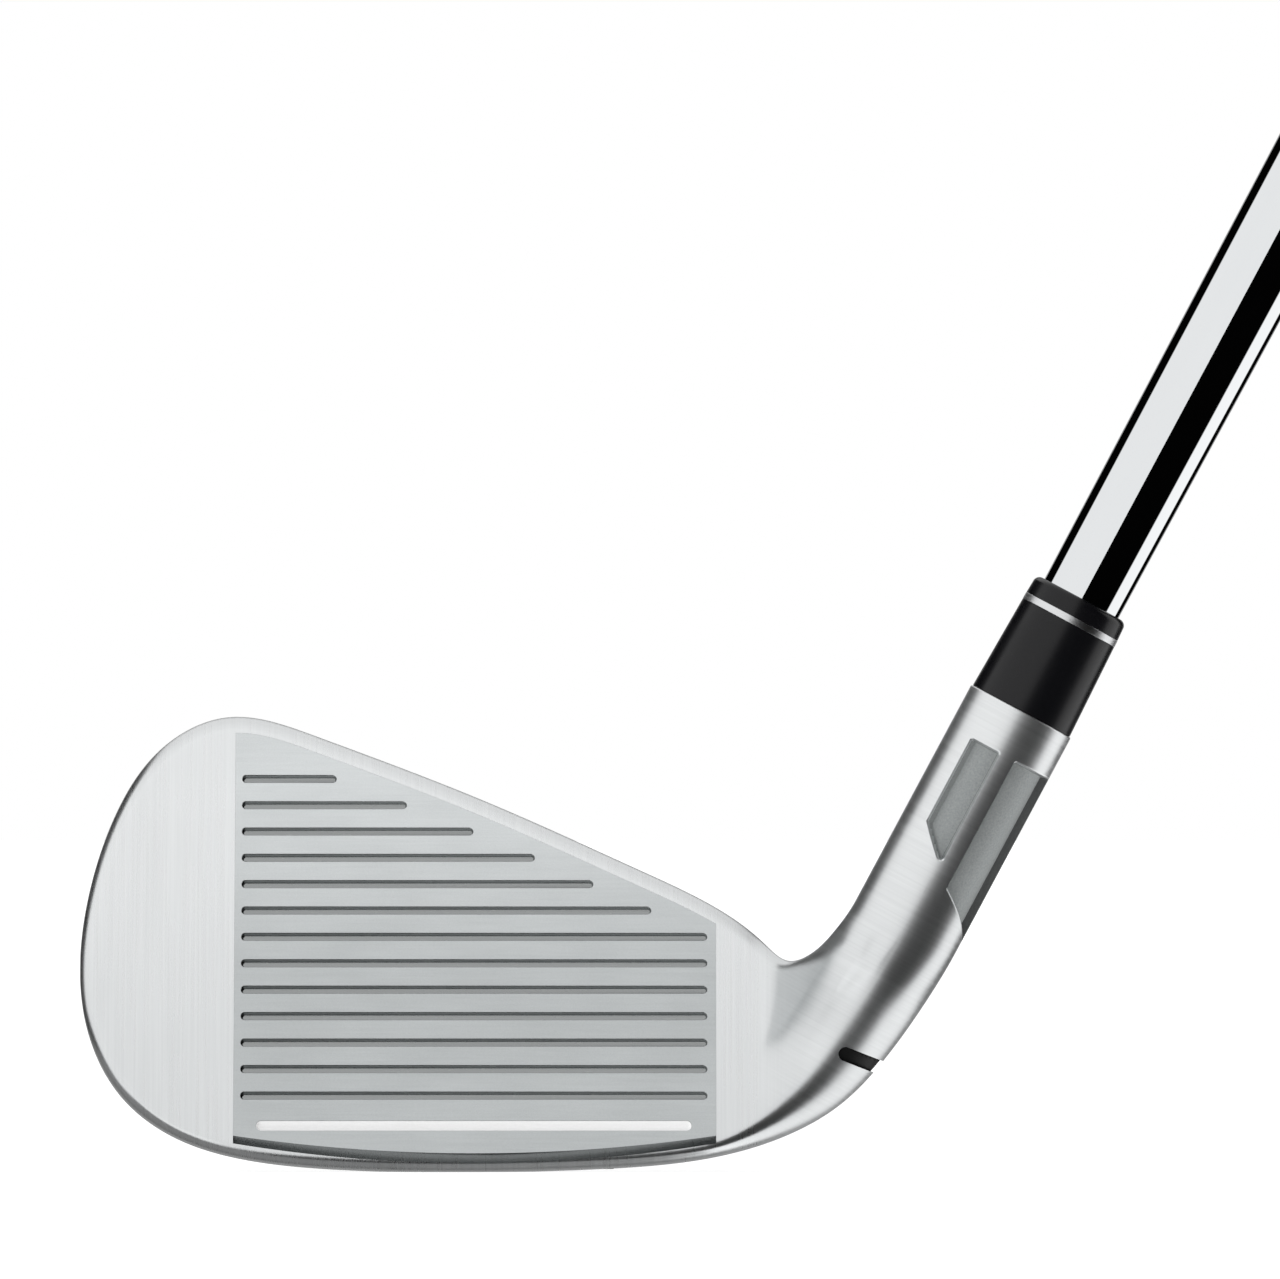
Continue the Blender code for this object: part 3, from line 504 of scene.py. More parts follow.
def rounded(corners, radius, steps=5):
    """A closed polygon with each corner turned into an arc of at most the given radius."""
    points = []
    corners = np.array(corners, float)
    for i, corner in enumerate(corners):
        before = corners[i - 1] - corner
        after = corners[(i + 1) % len(corners)] - corner
        legs = (np.linalg.norm(before), np.linalg.norm(after))
        before /= legs[0]
        after /= legs[1]
        half = math.acos(float(np.clip(before @ after, -1.0, 1.0))) / 2.0
        reach = min(radius / math.tan(half), 0.45 * min(legs)) if half < 1.5 else 0.0
        if reach == 0.0:
            points.append(corner)
            continue
        for s in np.linspace(0.0, 1.0, steps + 1):
            a = corner + before * reach
            b = corner + after * reach
            points.append((1 - s) ** 2 * a + 2 * s * (1 - s) * corner + s**2 * b)
    return points


def cut(target, tool, operation="DIFFERENCE"):
    """Boolean of an object with a mesh, or with another object, which is removed afterwards."""
    if isinstance(tool, bpy.types.Mesh):
        tool = add_object(tool.name, tool)
    modifier = target.modifiers.new(tool.name, "BOOLEAN")
    modifier.operation = operation
    modifier.solver = "EXACT"
    modifier.object = tool
    settle(target)
    bpy.data.objects.remove(tool)


def settle(target):
    """Applies an object's modifiers."""
    view = bpy.context.evaluated_depsgraph_get()
    mesh = bpy.data.meshes.new_from_object(target.evaluated_get(view))
    target.modifiers.clear()
    target.data = mesh


def soften(target, width, angle=40.0):
    """Rounds an object's sharp edges."""
    modifier = target.modifiers.new("soften", "BEVEL")
    modifier.width = width * MM
    modifier.segments = 3
    modifier.limit_method = "ANGLE"
    modifier.angle_limit = math.radians(angle)
    settle(target)
    target.data.shade_smooth()
    target.data.set_sharp_from_angle(angle=math.radians(50.0))


def face_centres(target):
    return np.array([face.center for face in target.data.polygons]) / MM


def plane_behind(surface, depth):
    return lambda z: surface(z) + depth


# Outlines, all in XZ

def plate_foot(x):
    """The plate's lower edge behind its chamfer."""
    return 1.08 + 2.25 * (x / PLATE_HALF) ** 2


def chamfer_top(x):
    """The plate's lower edge on the face."""
    return 2.2 + 2.0 * (x / PLATE_HALF) ** 2


def plate_outline(grow, foot, steps=60):
    xs = np.linspace(-PLATE_HALF - grow, PLATE_HALF + grow, steps + 1)
    lower = [(x, foot(x) - grow) for x in xs]
    upper = [(x, top_z(x) - PLATE_MARGIN + grow) for x in xs[::-1]]
    return lower + upper


def cavity_outline(grow, steps=240):
    """The head's outline drawn in by the cavity's margin, cut off at its floor and heel side."""
    reach = CURVE[CURVE[:, 0] < CAVITY_RIGHT + 12.0]
    steps_along = np.gradient(reach, axis=0)
    inward = np.stack((steps_along[:, 1], -steps_along[:, 0]), axis=1)
    inward /= np.linalg.norm(inward, axis=1)[:, None]
    inner = reach + (CAVITY_MARGIN - grow) * inward
    inner = inner[inner[:, 0] <= CAVITY_RIGHT + grow]
    inner[:, 1] = np.maximum(inner[:, 1], CAVITY_FLOOR - grow)
    closed = np.concatenate((inner, inner[:1]))
    ring = spread(closed, np.linspace(0.0, 1.0, steps, endpoint=False))
    for _ in range(CAVITY_SMOOTHING):
        ring = (np.roll(ring, 1, axis=0) + 2.0 * ring + np.roll(ring, -1, axis=0)) / 4.0
    return ring.tolist()


def badge_outline(grow):
    """The cap's inlay, wider at its foot."""
    corners = [(-22.0 - grow, 13.5 - grow), (12.0 + grow, 11.0 - grow),
               (7.0 + grow, 24.0 + grow), (-26.0 - grow, 33.0 + grow)]
    return rounded(corners, 1.2)


def grown(hole, amount):
    return {**hole, "half_length": hole["half_length"] + amount,
            "half_width": hole["half_width"] + amount}


def stadium(centre, half_length, half_width, steps=16, turn=0.0):
    """A long hole with round ends, its long direction turned from the first axis."""
    points = []
    for end, start in ((1, -90), (-1, 90)):
        for i in range(steps + 1):
            angle = math.radians(start + 180.0 * i / steps)
            u = end * (half_length - half_width) + half_width * math.cos(angle)
            v = half_width * math.sin(angle)
            points.append((centre[0] + u * math.cos(turn) - v * math.sin(turn),
                           centre[1] + u * math.sin(turn) + v * math.cos(turn)))
    return points


def notch_outline(grow):
    """The slot that enters from the heel side, leaning down towards the heel."""
    return stadium(**grown(NOTCH, grow), turn=NOTCH_TURN)


# Node helpers for the materials and the world

def connect(tree, value, socket):
    """Sets a socket from another node's socket, or to a plain value."""
    if isinstance(value, bpy.types.NodeSocket):
        tree.links.new(value, socket)
    else:
        socket.default_value = value


def add_node(tree, kind, **inputs):
    made = tree.nodes.new(kind)
    for key, value in inputs.items():
        connect(tree, value, made.inputs[key.replace("_", " ")])
    return made


def math_node(tree, operation, *values):
    made = tree.nodes.new("ShaderNodeMath")
    made.operation = operation
    for socket, value in zip(made.inputs, values):
        connect(tree, value, socket)
    return made.outputs[0]


def ramp(tree, value, low, high, to_low=0.0, to_high=1.0, smooth=True):
    """A value mapped from one range to another."""
    made = tree.nodes.new("ShaderNodeMapRange")
    made.interpolation_type = "SMOOTHSTEP" if smooth else "LINEAR"
    for key, item in (("Value", value), ("From Min", low), ("From Max", high),
                      ("To Min", to_low), ("To Max", to_high)):
        connect(tree, item, made.inputs[key])
    return made.outputs[0]


def mix_colour(tree, factor, first, second):
    made = tree.nodes.new("ShaderNodeMix")
    made.data_type = "RGBA"
    for i, item in ((0, factor), (6, first), (7, second)):
        connect(tree, item, made.inputs[i])
    return made.outputs[2]


def position(tree, space="Object"):
    """X, Y and Z in the object's space, or of a direction."""
    place = add_node(tree, "ShaderNodeTexCoord").outputs[space]
    return add_node(tree, "ShaderNodeSeparateXYZ", Vector=place).outputs


def noise(tree, frequency, turn=0.0, detail=2.0):
    """Noise in object space, with its own frequency per metre along each axis."""
    place = add_node(tree, "ShaderNodeTexCoord").outputs["Object"]
    spun = add_node(tree, "ShaderNodeMapping", Vector=place, Rotation=(0.0, -turn, 0.0))
    stretched = add_node(tree, "ShaderNodeMapping", Vector=spun.outputs[0], Scale=frequency)
    made = add_node(tree, "ShaderNodeTexNoise", Vector=stretched.outputs[0], Scale=1.0, Detail=detail)
    return made.outputs["Fac"]


def new_material(name, **constants):
    made = bpy.data.materials.new(name)
    made.use_nodes = True
    shader = made.node_tree.nodes["Principled BSDF"]
    for key, value in constants.items():
        shader.inputs[key.replace("_", " ")].default_value = value
    return made, made.node_tree, shader


def bump(tree, shader, height, depth, strength=1.0):
    """Relief of the given depth in metres."""
    made = add_node(tree, "ShaderNodeBump", Height=height, Strength=strength, Distance=depth)
    tree.links.new(made.outputs[0], shader.inputs["Normal"])


# Materials

def brushed_steel_with_painted_shade():
    """Satin steel: brushed up and down on the blade and round the hosel, with painted shade that
    darkens it towards the sole.
    """
    made, tree, shader = new_material("brushed_steel_with_painted_shade", Metallic=0.95)
    x, _, z = position(tree)
    heel = ramp(tree, x, 0.031, 0.038)
    # painted shade: this height ramp darkens the steel's tone low on the head and lightens it higher up
    height = ramp(tree, z, 0.0, 0.05)
    upright = noise(tree, (3800.0, 60.0, 36.0), detail=1.0)
    round_hosel = noise(tree, (60.0, 60.0, 3200.0), turn=LEAN, detail=1.0)
    streaks = ramp(tree, heel, 0.0, 1.0, upright, round_hosel, smooth=False)
    smudge = noise(tree, (60.0, 60.0, 60.0), detail=3.0)
    tone = ramp(tree, streaks, 0.25, 0.75, 0.0, 1.0, smooth=False)
    low = mix_colour(tree, tone, (0.62, 0.635, 0.64, 1.0), (0.68, 0.695, 0.70, 1.0))
    high = mix_colour(tree, tone, (0.71, 0.725, 0.73, 1.0), (0.77, 0.785, 0.79, 1.0))
    tree.links.new(mix_colour(tree, height, low, high), shader.inputs["Base Color"])
    rough = ramp(tree, streaks, 0.2, 0.8, 0.25, 0.31, smooth=False)
    worn = ramp(tree, smudge, 0.3, 0.7, -0.015, 0.02)
    rough = math_node(tree, "MULTIPLY_ADD", heel, 0.06, rough)
    tree.links.new(math_node(tree, "ADD", rough, worn), shader.inputs["Roughness"])
    bump(tree, shader, streaks, 4.0e-6, 0.12)
    return made


def blasted_steel():
    """Fine-blasted steel of the hitting area, with faint milling lines and painted shade that darkens
    it towards the plate's foot.
    """
    made, tree, shader = new_material("blasted_steel", Metallic=1.0)
    grain = noise(tree, (9000.0, 9000.0, 9000.0), detail=2.0)
    lines = noise(tree, (150.0, 300.0, 4200.0), detail=2.0)
    cloud = noise(tree, (90.0, 90.0, 160.0), detail=3.0)
    both = math_node(tree, "MULTIPLY_ADD", lines, 0.5, grain)
    tone = ramp(tree, both, 0.5, 1.0, 0.0, 1.0, smooth=False)
    # painted shade: this height ramp darkens the plate's tone towards its foot and lightens it higher
    # up
    height = ramp(tree, position(tree)[2], 0.018, 0.046)
    low = mix_colour(tree, tone, (0.47, 0.492, 0.496, 1.0), (0.535, 0.557, 0.561, 1.0))
    high = mix_colour(tree, tone, (0.63, 0.655, 0.66, 1.0), (0.70, 0.725, 0.73, 1.0))
    tree.links.new(mix_colour(tree, height, low, high), shader.inputs["Base Color"])
    tree.links.new(ramp(tree, cloud, 0.3, 0.7, 0.36, 0.42), shader.inputs["Roughness"])
    bump(tree, shader, both, 4.0e-6)
    return made


def grained(name, dark, light, rough, frequency, depth=None, turn=0.0, detail=2.0, **constants):
    """Metal whose fine grain sets the tone, the gloss and a faint relief."""
    made, tree, shader = new_material(name, **constants)
    grain = noise(tree, frequency, turn, detail)
    tree.links.new(mix_colour(tree, grain, (*dark, 1.0), (*light, 1.0)), shader.inputs["Base Color"])
    tree.links.new(ramp(tree, grain, 0.3, 0.7, *rough), shader.inputs["Roughness"])
    if depth:
        bump(tree, shader, grain, depth)
    return made


def moulded(name, dark, light, rough, frequency, depth, **constants):
    """Plastic, rubber and similar: a fine mottled tone, uneven gloss and a fine relief."""
    made, tree, shader = new_material(name, **constants)
    grain = noise(tree, (frequency,) * 3, detail=4.0)
    cloud = noise(tree, (120.0, 120.0, 120.0), detail=3.0)
    tree.links.new(mix_colour(tree, grain, (*dark, 1.0), (*light, 1.0)), shader.inputs["Base Color"])
    tree.links.new(ramp(tree, cloud, 0.3, 0.7, *rough), shader.inputs["Roughness"])
    bump(tree, shader, grain, depth)
    return made


MATERIALS = {
    "brushed": brushed_steel_with_painted_shade(),
    "blasted": blasted_steel(),
    # the pockets' floors, rougher and darkened as painted shade, and the second pocket's far wall,
    # near-black as painted shade
    "pocket": grained("rough_pocket_floor_painted_shade", (0.21, 0.225, 0.225), (0.40, 0.42, 0.42), (0.50, 0.60),
                      (4500.0, 4500.0, 4500.0), 5e-6, Metallic=0.35),
    "wall": grained("far_wall_painted_shade", (0.095, 0.10, 0.10), (0.135, 0.14, 0.14), (0.40, 0.50),
                    (5000.0, 5000.0, 5000.0), 2e-6, Metallic=0.4),
    # painted shade: a darker steel on the plate's bevel and on the score lines' faces that do not face
    # up
    "edge": grained("bevel_and_groove_painted_shade", (0.26, 0.27, 0.27), (0.33, 0.34, 0.34), (0.20, 0.28),
                    (300.0, 4000.0, 4000.0), 2e-6, Metallic=1.0),
    "chrome": grained("shaft_chrome", (0.70, 0.715, 0.725), (0.73, 0.745, 0.755), (0.02, 0.05),
                      (300.0, 300.0, 40.0), turn=LEAN, detail=4.0, Metallic=1.0),
    "ring": grained("ferrule_ring_metal", (0.66, 0.67, 0.68), (0.76, 0.77, 0.78), (0.31, 0.39),
                    (200.0, 200.0, 9000.0), turn=LEAN, Metallic=1.0),
    # painted light: the white line paint also glows faintly
    "paint": moulded("glowing_line_paint", (0.86, 0.86, 0.86), (0.95, 0.95, 0.95), (0.3, 0.4), 4000.0, 4e-6,
                     Emission_Color=(1.0, 1.0, 1.0, 1.0), Emission_Strength=0.08),
    "ferrule": moulded("ferrule_plastic", (0.002, 0.002, 0.003), (0.005, 0.005, 0.006),
                       (0.25, 0.32), 3000.0, 1e-6, Specular_IOR_Level=0.32),
    "polymer": moulded("black_polymer", (0.003, 0.003, 0.003), (0.008, 0.008, 0.008), (0.45, 0.6),
                       5000.0, 6e-6, Specular_IOR_Level=0.08),
    "cap": moulded("cap_coating", (0.028, 0.030, 0.033), (0.05, 0.052, 0.056), (0.32, 0.42), 6000.0,
                   3e-6, Metallic=0.6),
    "badge": moulded("badge_metal", (0.50, 0.51, 0.53), (0.66, 0.67, 0.69), (0.24, 0.34), 5000.0,
                     2e-6, Metallic=1.0),
    "rubber": moulded("grip_rubber", (0.018, 0.018, 0.019), (0.040, 0.040, 0.042), (0.60, 0.76),
                      2500.0, 2.5e-5),
    "foam": moulded("gasket_foam", (0.015, 0.015, 0.015), (0.04, 0.04, 0.04), (0.85, 0.95), 3000.0,
                    8e-5),
    "tungsten": moulded("tungsten", (0.26, 0.26, 0.27), (0.36, 0.36, 0.37), (0.38, 0.5), 4000.0,
                        5e-6, Metallic=1.0),
    "cork": moulded("tip_cork", (0.33, 0.20, 0.10), (0.56, 0.40, 0.24), (0.8, 0.95), 1500.0, 1e-4),
    "tape": moulded("grip_tape", (0.62, 0.60, 0.52), (0.80, 0.78, 0.70), (0.7, 0.85), 2500.0, 2e-5),
    "film": moulded("band_film", (0.02, 0.02, 0.024), (0.05, 0.05, 0.056), (0.25, 0.35), 3000.0,
                    2e-6),
}


def finished(piece, slot, material, *nodes):
    """Gives a piece its material, its place in the part and the CAD nodes that it stands for."""
    piece.data.materials.clear()
    piece.data.materials.append(MATERIALS[material])
    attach(piece, "root")
    if nodes:
        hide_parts(*nodes)
    return piece


# Sizes read from the CAD's turned pieces

def cad_profile(node):
    """The (height, radius) pairs of a turned CAD node's outside, lowest first."""
    points = np.array([v.co for v in frame["nodes"][node].data.vertices]) / MM - GROUND
    heights = np.round(points @ AXIS3, 2)
    radii = np.linalg.norm(points - (points @ AXIS3)[:, None] * AXIS3, axis=1)
    return [(float(h), float(radii[heights == h].max())) for h in np.unique(heights)]


SHAFT = cad_profile("shaft")
BORE = SHAFT[1][1] + SEAM
GRIP_BORE = cad_profile("grip_tape")[0][1] + GRIP_LAYER


def shaft_radius(h):
    return float(np.interp(h, *zip(*SHAFT)))


# The head

def pocket_polygon(left, right, left_foot, right_foot):
    """A pocket's outline on the unrolled hosel: distance round it and height."""
    round_left = math.radians(left) * HOSEL_R
    round_right = math.radians(right) * HOSEL_R
    return [(round_left, left_foot), (round_right, right_foot), (round_right, FLUTE_TOP),
            (round_left, FLUTE_TOP)]


def inside_depth(u, h, polygon, corner):
    """How far points lie inside a convex polygon whose corners are rounded."""
    polygon = np.array(polygon)
    best = np.full(u.shape, np.inf)
    inside = np.ones(u.shape, bool)
    shrunk = []
    for i in range(len(polygon)):
        a, b = polygon[i], polygon[(i + 1) % len(polygon)]
        normal = np.array((b[1] - a[1], a[0] - b[0])) / np.linalg.norm(b - a)
        shrunk.append((normal, normal @ a - corner))
    corners = []
    for (n0, c0), (n1, c1) in zip([shrunk[-1]] + shrunk[:-1], shrunk):
        corners.append(np.linalg.solve(np.array((n0, n1)), np.array((c0, c1))))
    for i, (normal, limit) in enumerate(shrunk):
        a, b = corners[i], corners[(i + 1) % len(corners)]
        chord = b - a
        share = np.clip(((u - a[0]) * chord[0] + (h - a[1]) * chord[1]) / (chord @ chord), 0.0, 1.0)
        best = np.minimum(best, np.hypot(u - a[0] - share * chord[0], h - a[1] - share * chord[1]))
        inside &= u * normal[0] + h * normal[1] <= limit
    return np.where(inside, best, -best) + corner


def carve_pockets(rings):
    """Presses the two pockets into the front of the hosel, with sloping walls and soft rims."""
    points = np.array(rings)
    local = points - GROUND
    h = local @ AXIS3
    side = local @ ACROSS3
    forward = -local[..., 1]
    radius = np.hypot(side, forward)
    angle = np.arctan2(side, forward)
    depth = np.zeros(h.shape)
    for flute in FLUTES:
        inside = inside_depth(angle * HOSEL_R, h, pocket_polygon(*flute), FLUTE_CORNER)
        depth = np.maximum(depth, FLUTE_DEPTH * smoothstep(inside / FLUTE_WALL))
    depth *= np.abs(radius - HOSEL_R) < 0.02
    scale = (radius - depth) / np.maximum(radius, 1e-6)
    centre = GROUND + h[..., None] * AXIS3
    return centre + (points - centre) * scale[..., None]


def finish_pockets(body):
    """Gives the pockets' floors a rougher steel darkened as painted shade, and paints shade onto the
    second one's far wall as a near-black steel.
    """
    body.data.materials.append(MATERIALS["pocket"])
    body.data.materials.append(MATERIALS["wall"])
    local = face_centres(body) - GROUND
    h = local @ AXIS3
    radius = np.linalg.norm(local - h[:, None] * AXIS3, axis=1)
    angle = np.degrees(np.arctan2(local @ ACROSS3, -local[:, 1]))
    pocket = (radius > HOSEL_R - FLUTE_DEPTH - 0.1) & (h > FLUTES[1][3]) & (h < FLUTE_TOP)
    # painted shade: the deeper half of each pocket takes the darker floor steel
    floor = pocket & (radius < HOSEL_R - 0.5 * FLUTE_DEPTH)
    # painted shade: the second pocket's far wall takes the near-black steel
    wall = pocket & (radius < HOSEL_R - 0.02) & (angle > FAR_WALL[0]) & (angle < FAR_WALL[1])
    body.data.polygons.foreach_set("material_index", np.where(wall, 2, floor))


def head_opening():
    """All that is cut from the head, as one solid: plate seat, window, cavity, notch and slot."""
    seat = slab("seat", plate_outline(SEAM, plate_foot), FAR_FRONT,
                plane_behind(face_y, PLATE_DEPTH + SEAM))
    window = plate_outline(-LEDGE, lambda x: CAVITY_FLOOR - LEDGE)
    parts = (
        slab("window", window, FAR_FRONT, plane_behind(face_y, WINDOW_DEPTH)),
        slab("cavity", cavity_outline(0.0), plane_behind(face_y, FACE_WALL), FAR_BACK),
        slab("cap_seat", cavity_outline(CAP_LAP), plane_behind(back_y, -CAP_SEAT), FAR_BACK),
        slab("notch", notch_outline(0.0), FAR_FRONT, FAR_BACK),
        plan_prism("slot", stadium(**SLOT), -2.0, CAVITY_FLOOR + 2.0),
    )
    opening = add_object("cutter", seat)
    for mesh in parts:
        cut(opening, mesh, "UNION")
    return opening


def make_head():
    columns = (181, 61)
    rings = head_rings(columns, toe_steps=50, blade_steps=130, fan_steps=110, hosel_steps=230)
    rings = list(carve_pockets(rings))
    for angle in np.linspace(0.3, math.pi / 2, 5):
        rings.append(tube_ring(HOSEL_TOP - HOSEL_EDGE * (1 - math.sin(angle)),
                               HOSEL_R - HOSEL_EDGE * (1 - math.cos(angle)), columns))
    rings += [tube_ring(h, BORE, columns) for h in (HOSEL_TOP, HOSEL_TOP - 0.3, BORE_BOTTOM)]
    tip = (TOE_X, face_y(TOE_Z) + TOP_RIM["depth"], TOE_Z)
    body = add_object("head_body", skin("head_body", rings, tip, GROUND + BORE_BOTTOM * AXIS3))
    cut(body, head_opening())
    body.data.shade_smooth()
    body.data.set_sharp_from_angle(angle=math.radians(45.0))
    finished(body, "satin_steel", "brushed", "head_body")
    finish_pockets(body)


def make_notch_insert():
    """A black filler a little below the surface of the neck."""
    sunk = []
    for ring in head_rings((61, 41), toe_steps=10, blade_steps=16, fan_steps=70, hosel_steps=4):
        middle = ring.mean(axis=0)
        sunk.append(middle + (ring - middle) * FILLER_SIZE)
    insert = add_object("hosel_notch_insert", skin("notch_insert", sunk, sunk[0].mean(axis=0)))
    cut(insert, slab("core", notch_outline(-SEAM), FAR_FRONT, FAR_BACK), "INTERSECT")
    finished(insert, "black_polymer", "polymer", "hosel_notch_insert")


def line_spans():
    """(z, left, right, width) of each score line, from the lowest."""
    falling = TOP_SIDE[TOP_SIDE[:, 0] > LINE["left"]]
    spans = []
    for i in range(GROOVES):
        z = LOWEST_GROOVE + i * GROOVE_PITCH
        topline_x = float(np.interp(-(z + GROOVE_MARGIN), -falling[:, 1], falling[:, 0]))
        spans.append((z, GROOVE_LEFT, min(GROOVE_RIGHT, topline_x), GROOVE_WIDTH))
    return spans


def line_solid(name, z, left, right, width, section):
    """A bar along a score line, with round ends."""
    rings = []
    for depth, share in section:
        outline = stadium(((left + right) / 2, z), (right - left) / 2 - width / 2 * (1 - share),
                          width / 2 * share, steps=12)
        rings.append([into_face(x, zz, depth) for x, zz in outline])
    return skin(name, rings)


def make_face_plate():
    front = plate_outline(0.0, chamfer_top)
    middle = plate_outline(0.0, plate_foot)
    count = len(front) // 2
    chamfer = [(x, face_y(top) + CHAMFER_DEPTH, foot)
               for (x, foot), (_, top) in zip(middle[:count], front[:count])]
    rings = [
        [(x, face_y(z), z) for x, z in front],
        chamfer + [(x, face_y(z) + CHAMFER_DEPTH, z) for x, z in middle[count:]],
        [(x, face_y(z) + PLATE_DEPTH, z) for x, z in middle],
    ]
    plate = add_object("face_plate", skin("face_plate", rings), 15.0)
    for span in line_spans():
        cut(plate, line_solid("groove", *span, GROOVE_SECTION))
    cut(plate, line_solid("line", **LINE, section=LINE_SECTION))
    plate.data.shade_smooth()
    plate.data.set_sharp_from_angle(angle=math.radians(28.0))
    finished(plate, "blasted_steel", "blasted", "face_plate")
    # painted shade: the bevel and the sunk faces that do not face up take the darker steel
    plate.data.materials.append(MATERIALS["edge"])
    centres = face_centres(plate)
    facing_up = np.array([face.normal.z for face in plate.data.polygons])
    dark = (centres[:, 1] - face_y(centres[:, 2]) > 0.03) & (facing_up < math.sin(LOFT) + 0.05)
    plate.data.polygons.foreach_set("material_index", dark.astype(int))
    paint = add_object("glowing_line_paint", line_solid("glowing_line_paint", **LINE, section=PAINT_SECTION), 60.0)
    finished(paint, None, "paint")


def make_cap():
    """The cavity's cap, with a sunk field inside its frame and a badge in a raised border."""
    lap = CAP_LAP - SEAM
    surface = plane_behind(back_y, -CAP_SINK)
    cap = add_object("back_cap", slab("back_cap", cavity_outline(lap),
                                      plane_behind(surface, -CAP_THICKNESS), surface))
    field = add_object("field", slab("field", cavity_outline(lap - CAP_FRAME),
                                     plane_behind(surface, -FIELD_DEPTH), FAR_BACK))
    border_foot = plane_behind(surface, -2.0 * FIELD_DEPTH)
    cut(field, slab("border", badge_outline(BADGE_BORDER), border_foot, FAR_BACK))
    cut(cap, field)
    cut(cap, slab("recess", badge_outline(0.0), plane_behind(surface, -BADGE_DEPTH), FAR_BACK))
    soften(cap, 0.12)
    finished(cap, "cap_grey", "cap", "back_cap")
    badge = add_object("cap_badge", slab("cap_badge", badge_outline(-SEAM),
                                         plane_behind(surface, -BADGE_DEPTH),
                                         plane_behind(surface, BADGE_PROUD)))
    soften(badge, 0.15)
    finished(badge, "badge_metal", "badge", "cap_badge")


def make_slot_insert():
    insert = plan_prism("sole_slot_insert", stadium(**grown(SLOT, -SEAM)), 0.3, CAVITY_FLOOR + 1.2)
    insert = add_object("sole_slot_insert", insert)
    soften(insert, 0.15)
    finished(insert, "black_polymer", "polymer", "sole_slot_insert")


# Everything turned about the shaft's axis

def make_shaft():
    """Chromed tube with a soft shoulder at each of the CAD's steps."""
    outer = [SHAFT[0]]
    for (h0, r0), (h1, r1) in zip(SHAFT[1:-1:2], SHAFT[2:-1:2]):
        outer.append((h0 - 1.0, shaft_radius(h0 - 1.0)))
        for share in np.linspace(0.0, 1.0, 9):
            outer.append((h0 + share * (h1 - h0), r0 + (r1 - r0) * float(smoothstep(share))))
        outer.append((h1 + 1.0, r1))
    outer.append((SHAFT[-1][0] - 0.4, SHAFT[-1][1]))
    outer.append((SHAFT[-1][0], SHAFT[-1][1] - 0.3))
    inner = [(h, r - SHAFT_WALL) for h, r in outer[::-1]]
    inner[0] = (SHAFT[-1][0], SHAFT[-1][1] - SHAFT_WALL)
    profile = [(r, h) for h, r in outer + inner]
    shaft = add_object("shaft", turned("shaft", profile), 30.0)
    finished(shaft, "shaft_chrome", "chrome", "shaft")


def sleeve(name, radius, slot, material, low_round=0.05, high_round=0.05, grow=(0.0, 0.0)):
    """A turned ring that fills its CAD node's place, with rounded outer edges."""
    span = cad_profile(name)
    start = span[0][0] - grow[0]
    end = span[-1][0] + grow[1]
    bore = max(shaft_radius(start), shaft_radius(end)) + SEAM
    profile = [(bore, end), (bore, start)]
    for angle in np.linspace(0.0, math.pi / 2, 7):
        profile.append((radius(start) - low_round * (1 - math.sin(angle)),
                        start + low_round * (1 - math.cos(angle))))
    for angle in np.linspace(0.0, math.pi / 2, 9):
        profile.append((radius(end) - high_round * (1 - math.cos(angle)),
                        end - high_round * (1 - math.sin(angle))))
    finished(add_object(name, turned(name, profile)), slot, material, name)


def make_ferrule():
    """A tapered black sleeve, a silver ring and a black collar, drawn together to hairlines."""
    span = cad_profile("ferrule_sleeve")
    low, foot = span[0]
    high, head = span[-1]

    def radius(h):
        return foot + (head - foot) / (high - low) * (h - low)

    reach = CAD_GAP - SEAM
    sleeve("ferrule_sleeve", radius, "ferrule_black", "ferrule", low_round=0.12, grow=(reach, reach))
    sleeve("ferrule_ring", lambda h: radius(h) + 0.02, "ferrule_silver", "ring")
    sleeve("ferrule_collar", radius, "ferrule_black", "ferrule", high_round=0.8, grow=(reach, 0.0))


def make_band():
    """A plain film round the shaft."""
    sleeve("shaft_band", lambda h: shaft_radius(h) + BAND_FILM, "band_film", "film")


def grip_radius(h, mouth, end):
    """A steady taper that opens more towards the butt."""
    share = (h - mouth) / (end - mouth)
    return 9.7 + 2.6 * share + 1.2 * np.maximum(0.0, share - 0.8) / 0.2


def grip_relief(round_share, h, mouth, end):
    """Depth of the moulded pattern: diamond panels between plain rings."""
    along = h - mouth
    patterned = (along > PLAIN_MOUTH) & (h < end - PLAIN_BUTT)
    panel = np.mod(along - PLAIN_MOUTH, PANEL_PITCH)
    in_panel = smoothstep(panel - PANEL_EDGE) * smoothstep(PANEL_PITCH - PANEL_EDGE - panel)
    lines = 0.0
    for direction in (1.0, -1.0):
        turn = round_share * DIAMONDS_ROUND + direction * along / DIAMOND_PITCH
        wave = np.abs(np.mod(turn, 1.0) - 0.5) * 2.0
        lines = np.maximum(lines, smoothstep((wave - 0.62) / 0.25))
    ring = smoothstep(1.0 - np.abs(panel - 0.6) / 0.7)
    return patterned * (DIAMOND_CUT * lines * in_panel + RING_CUT * ring)


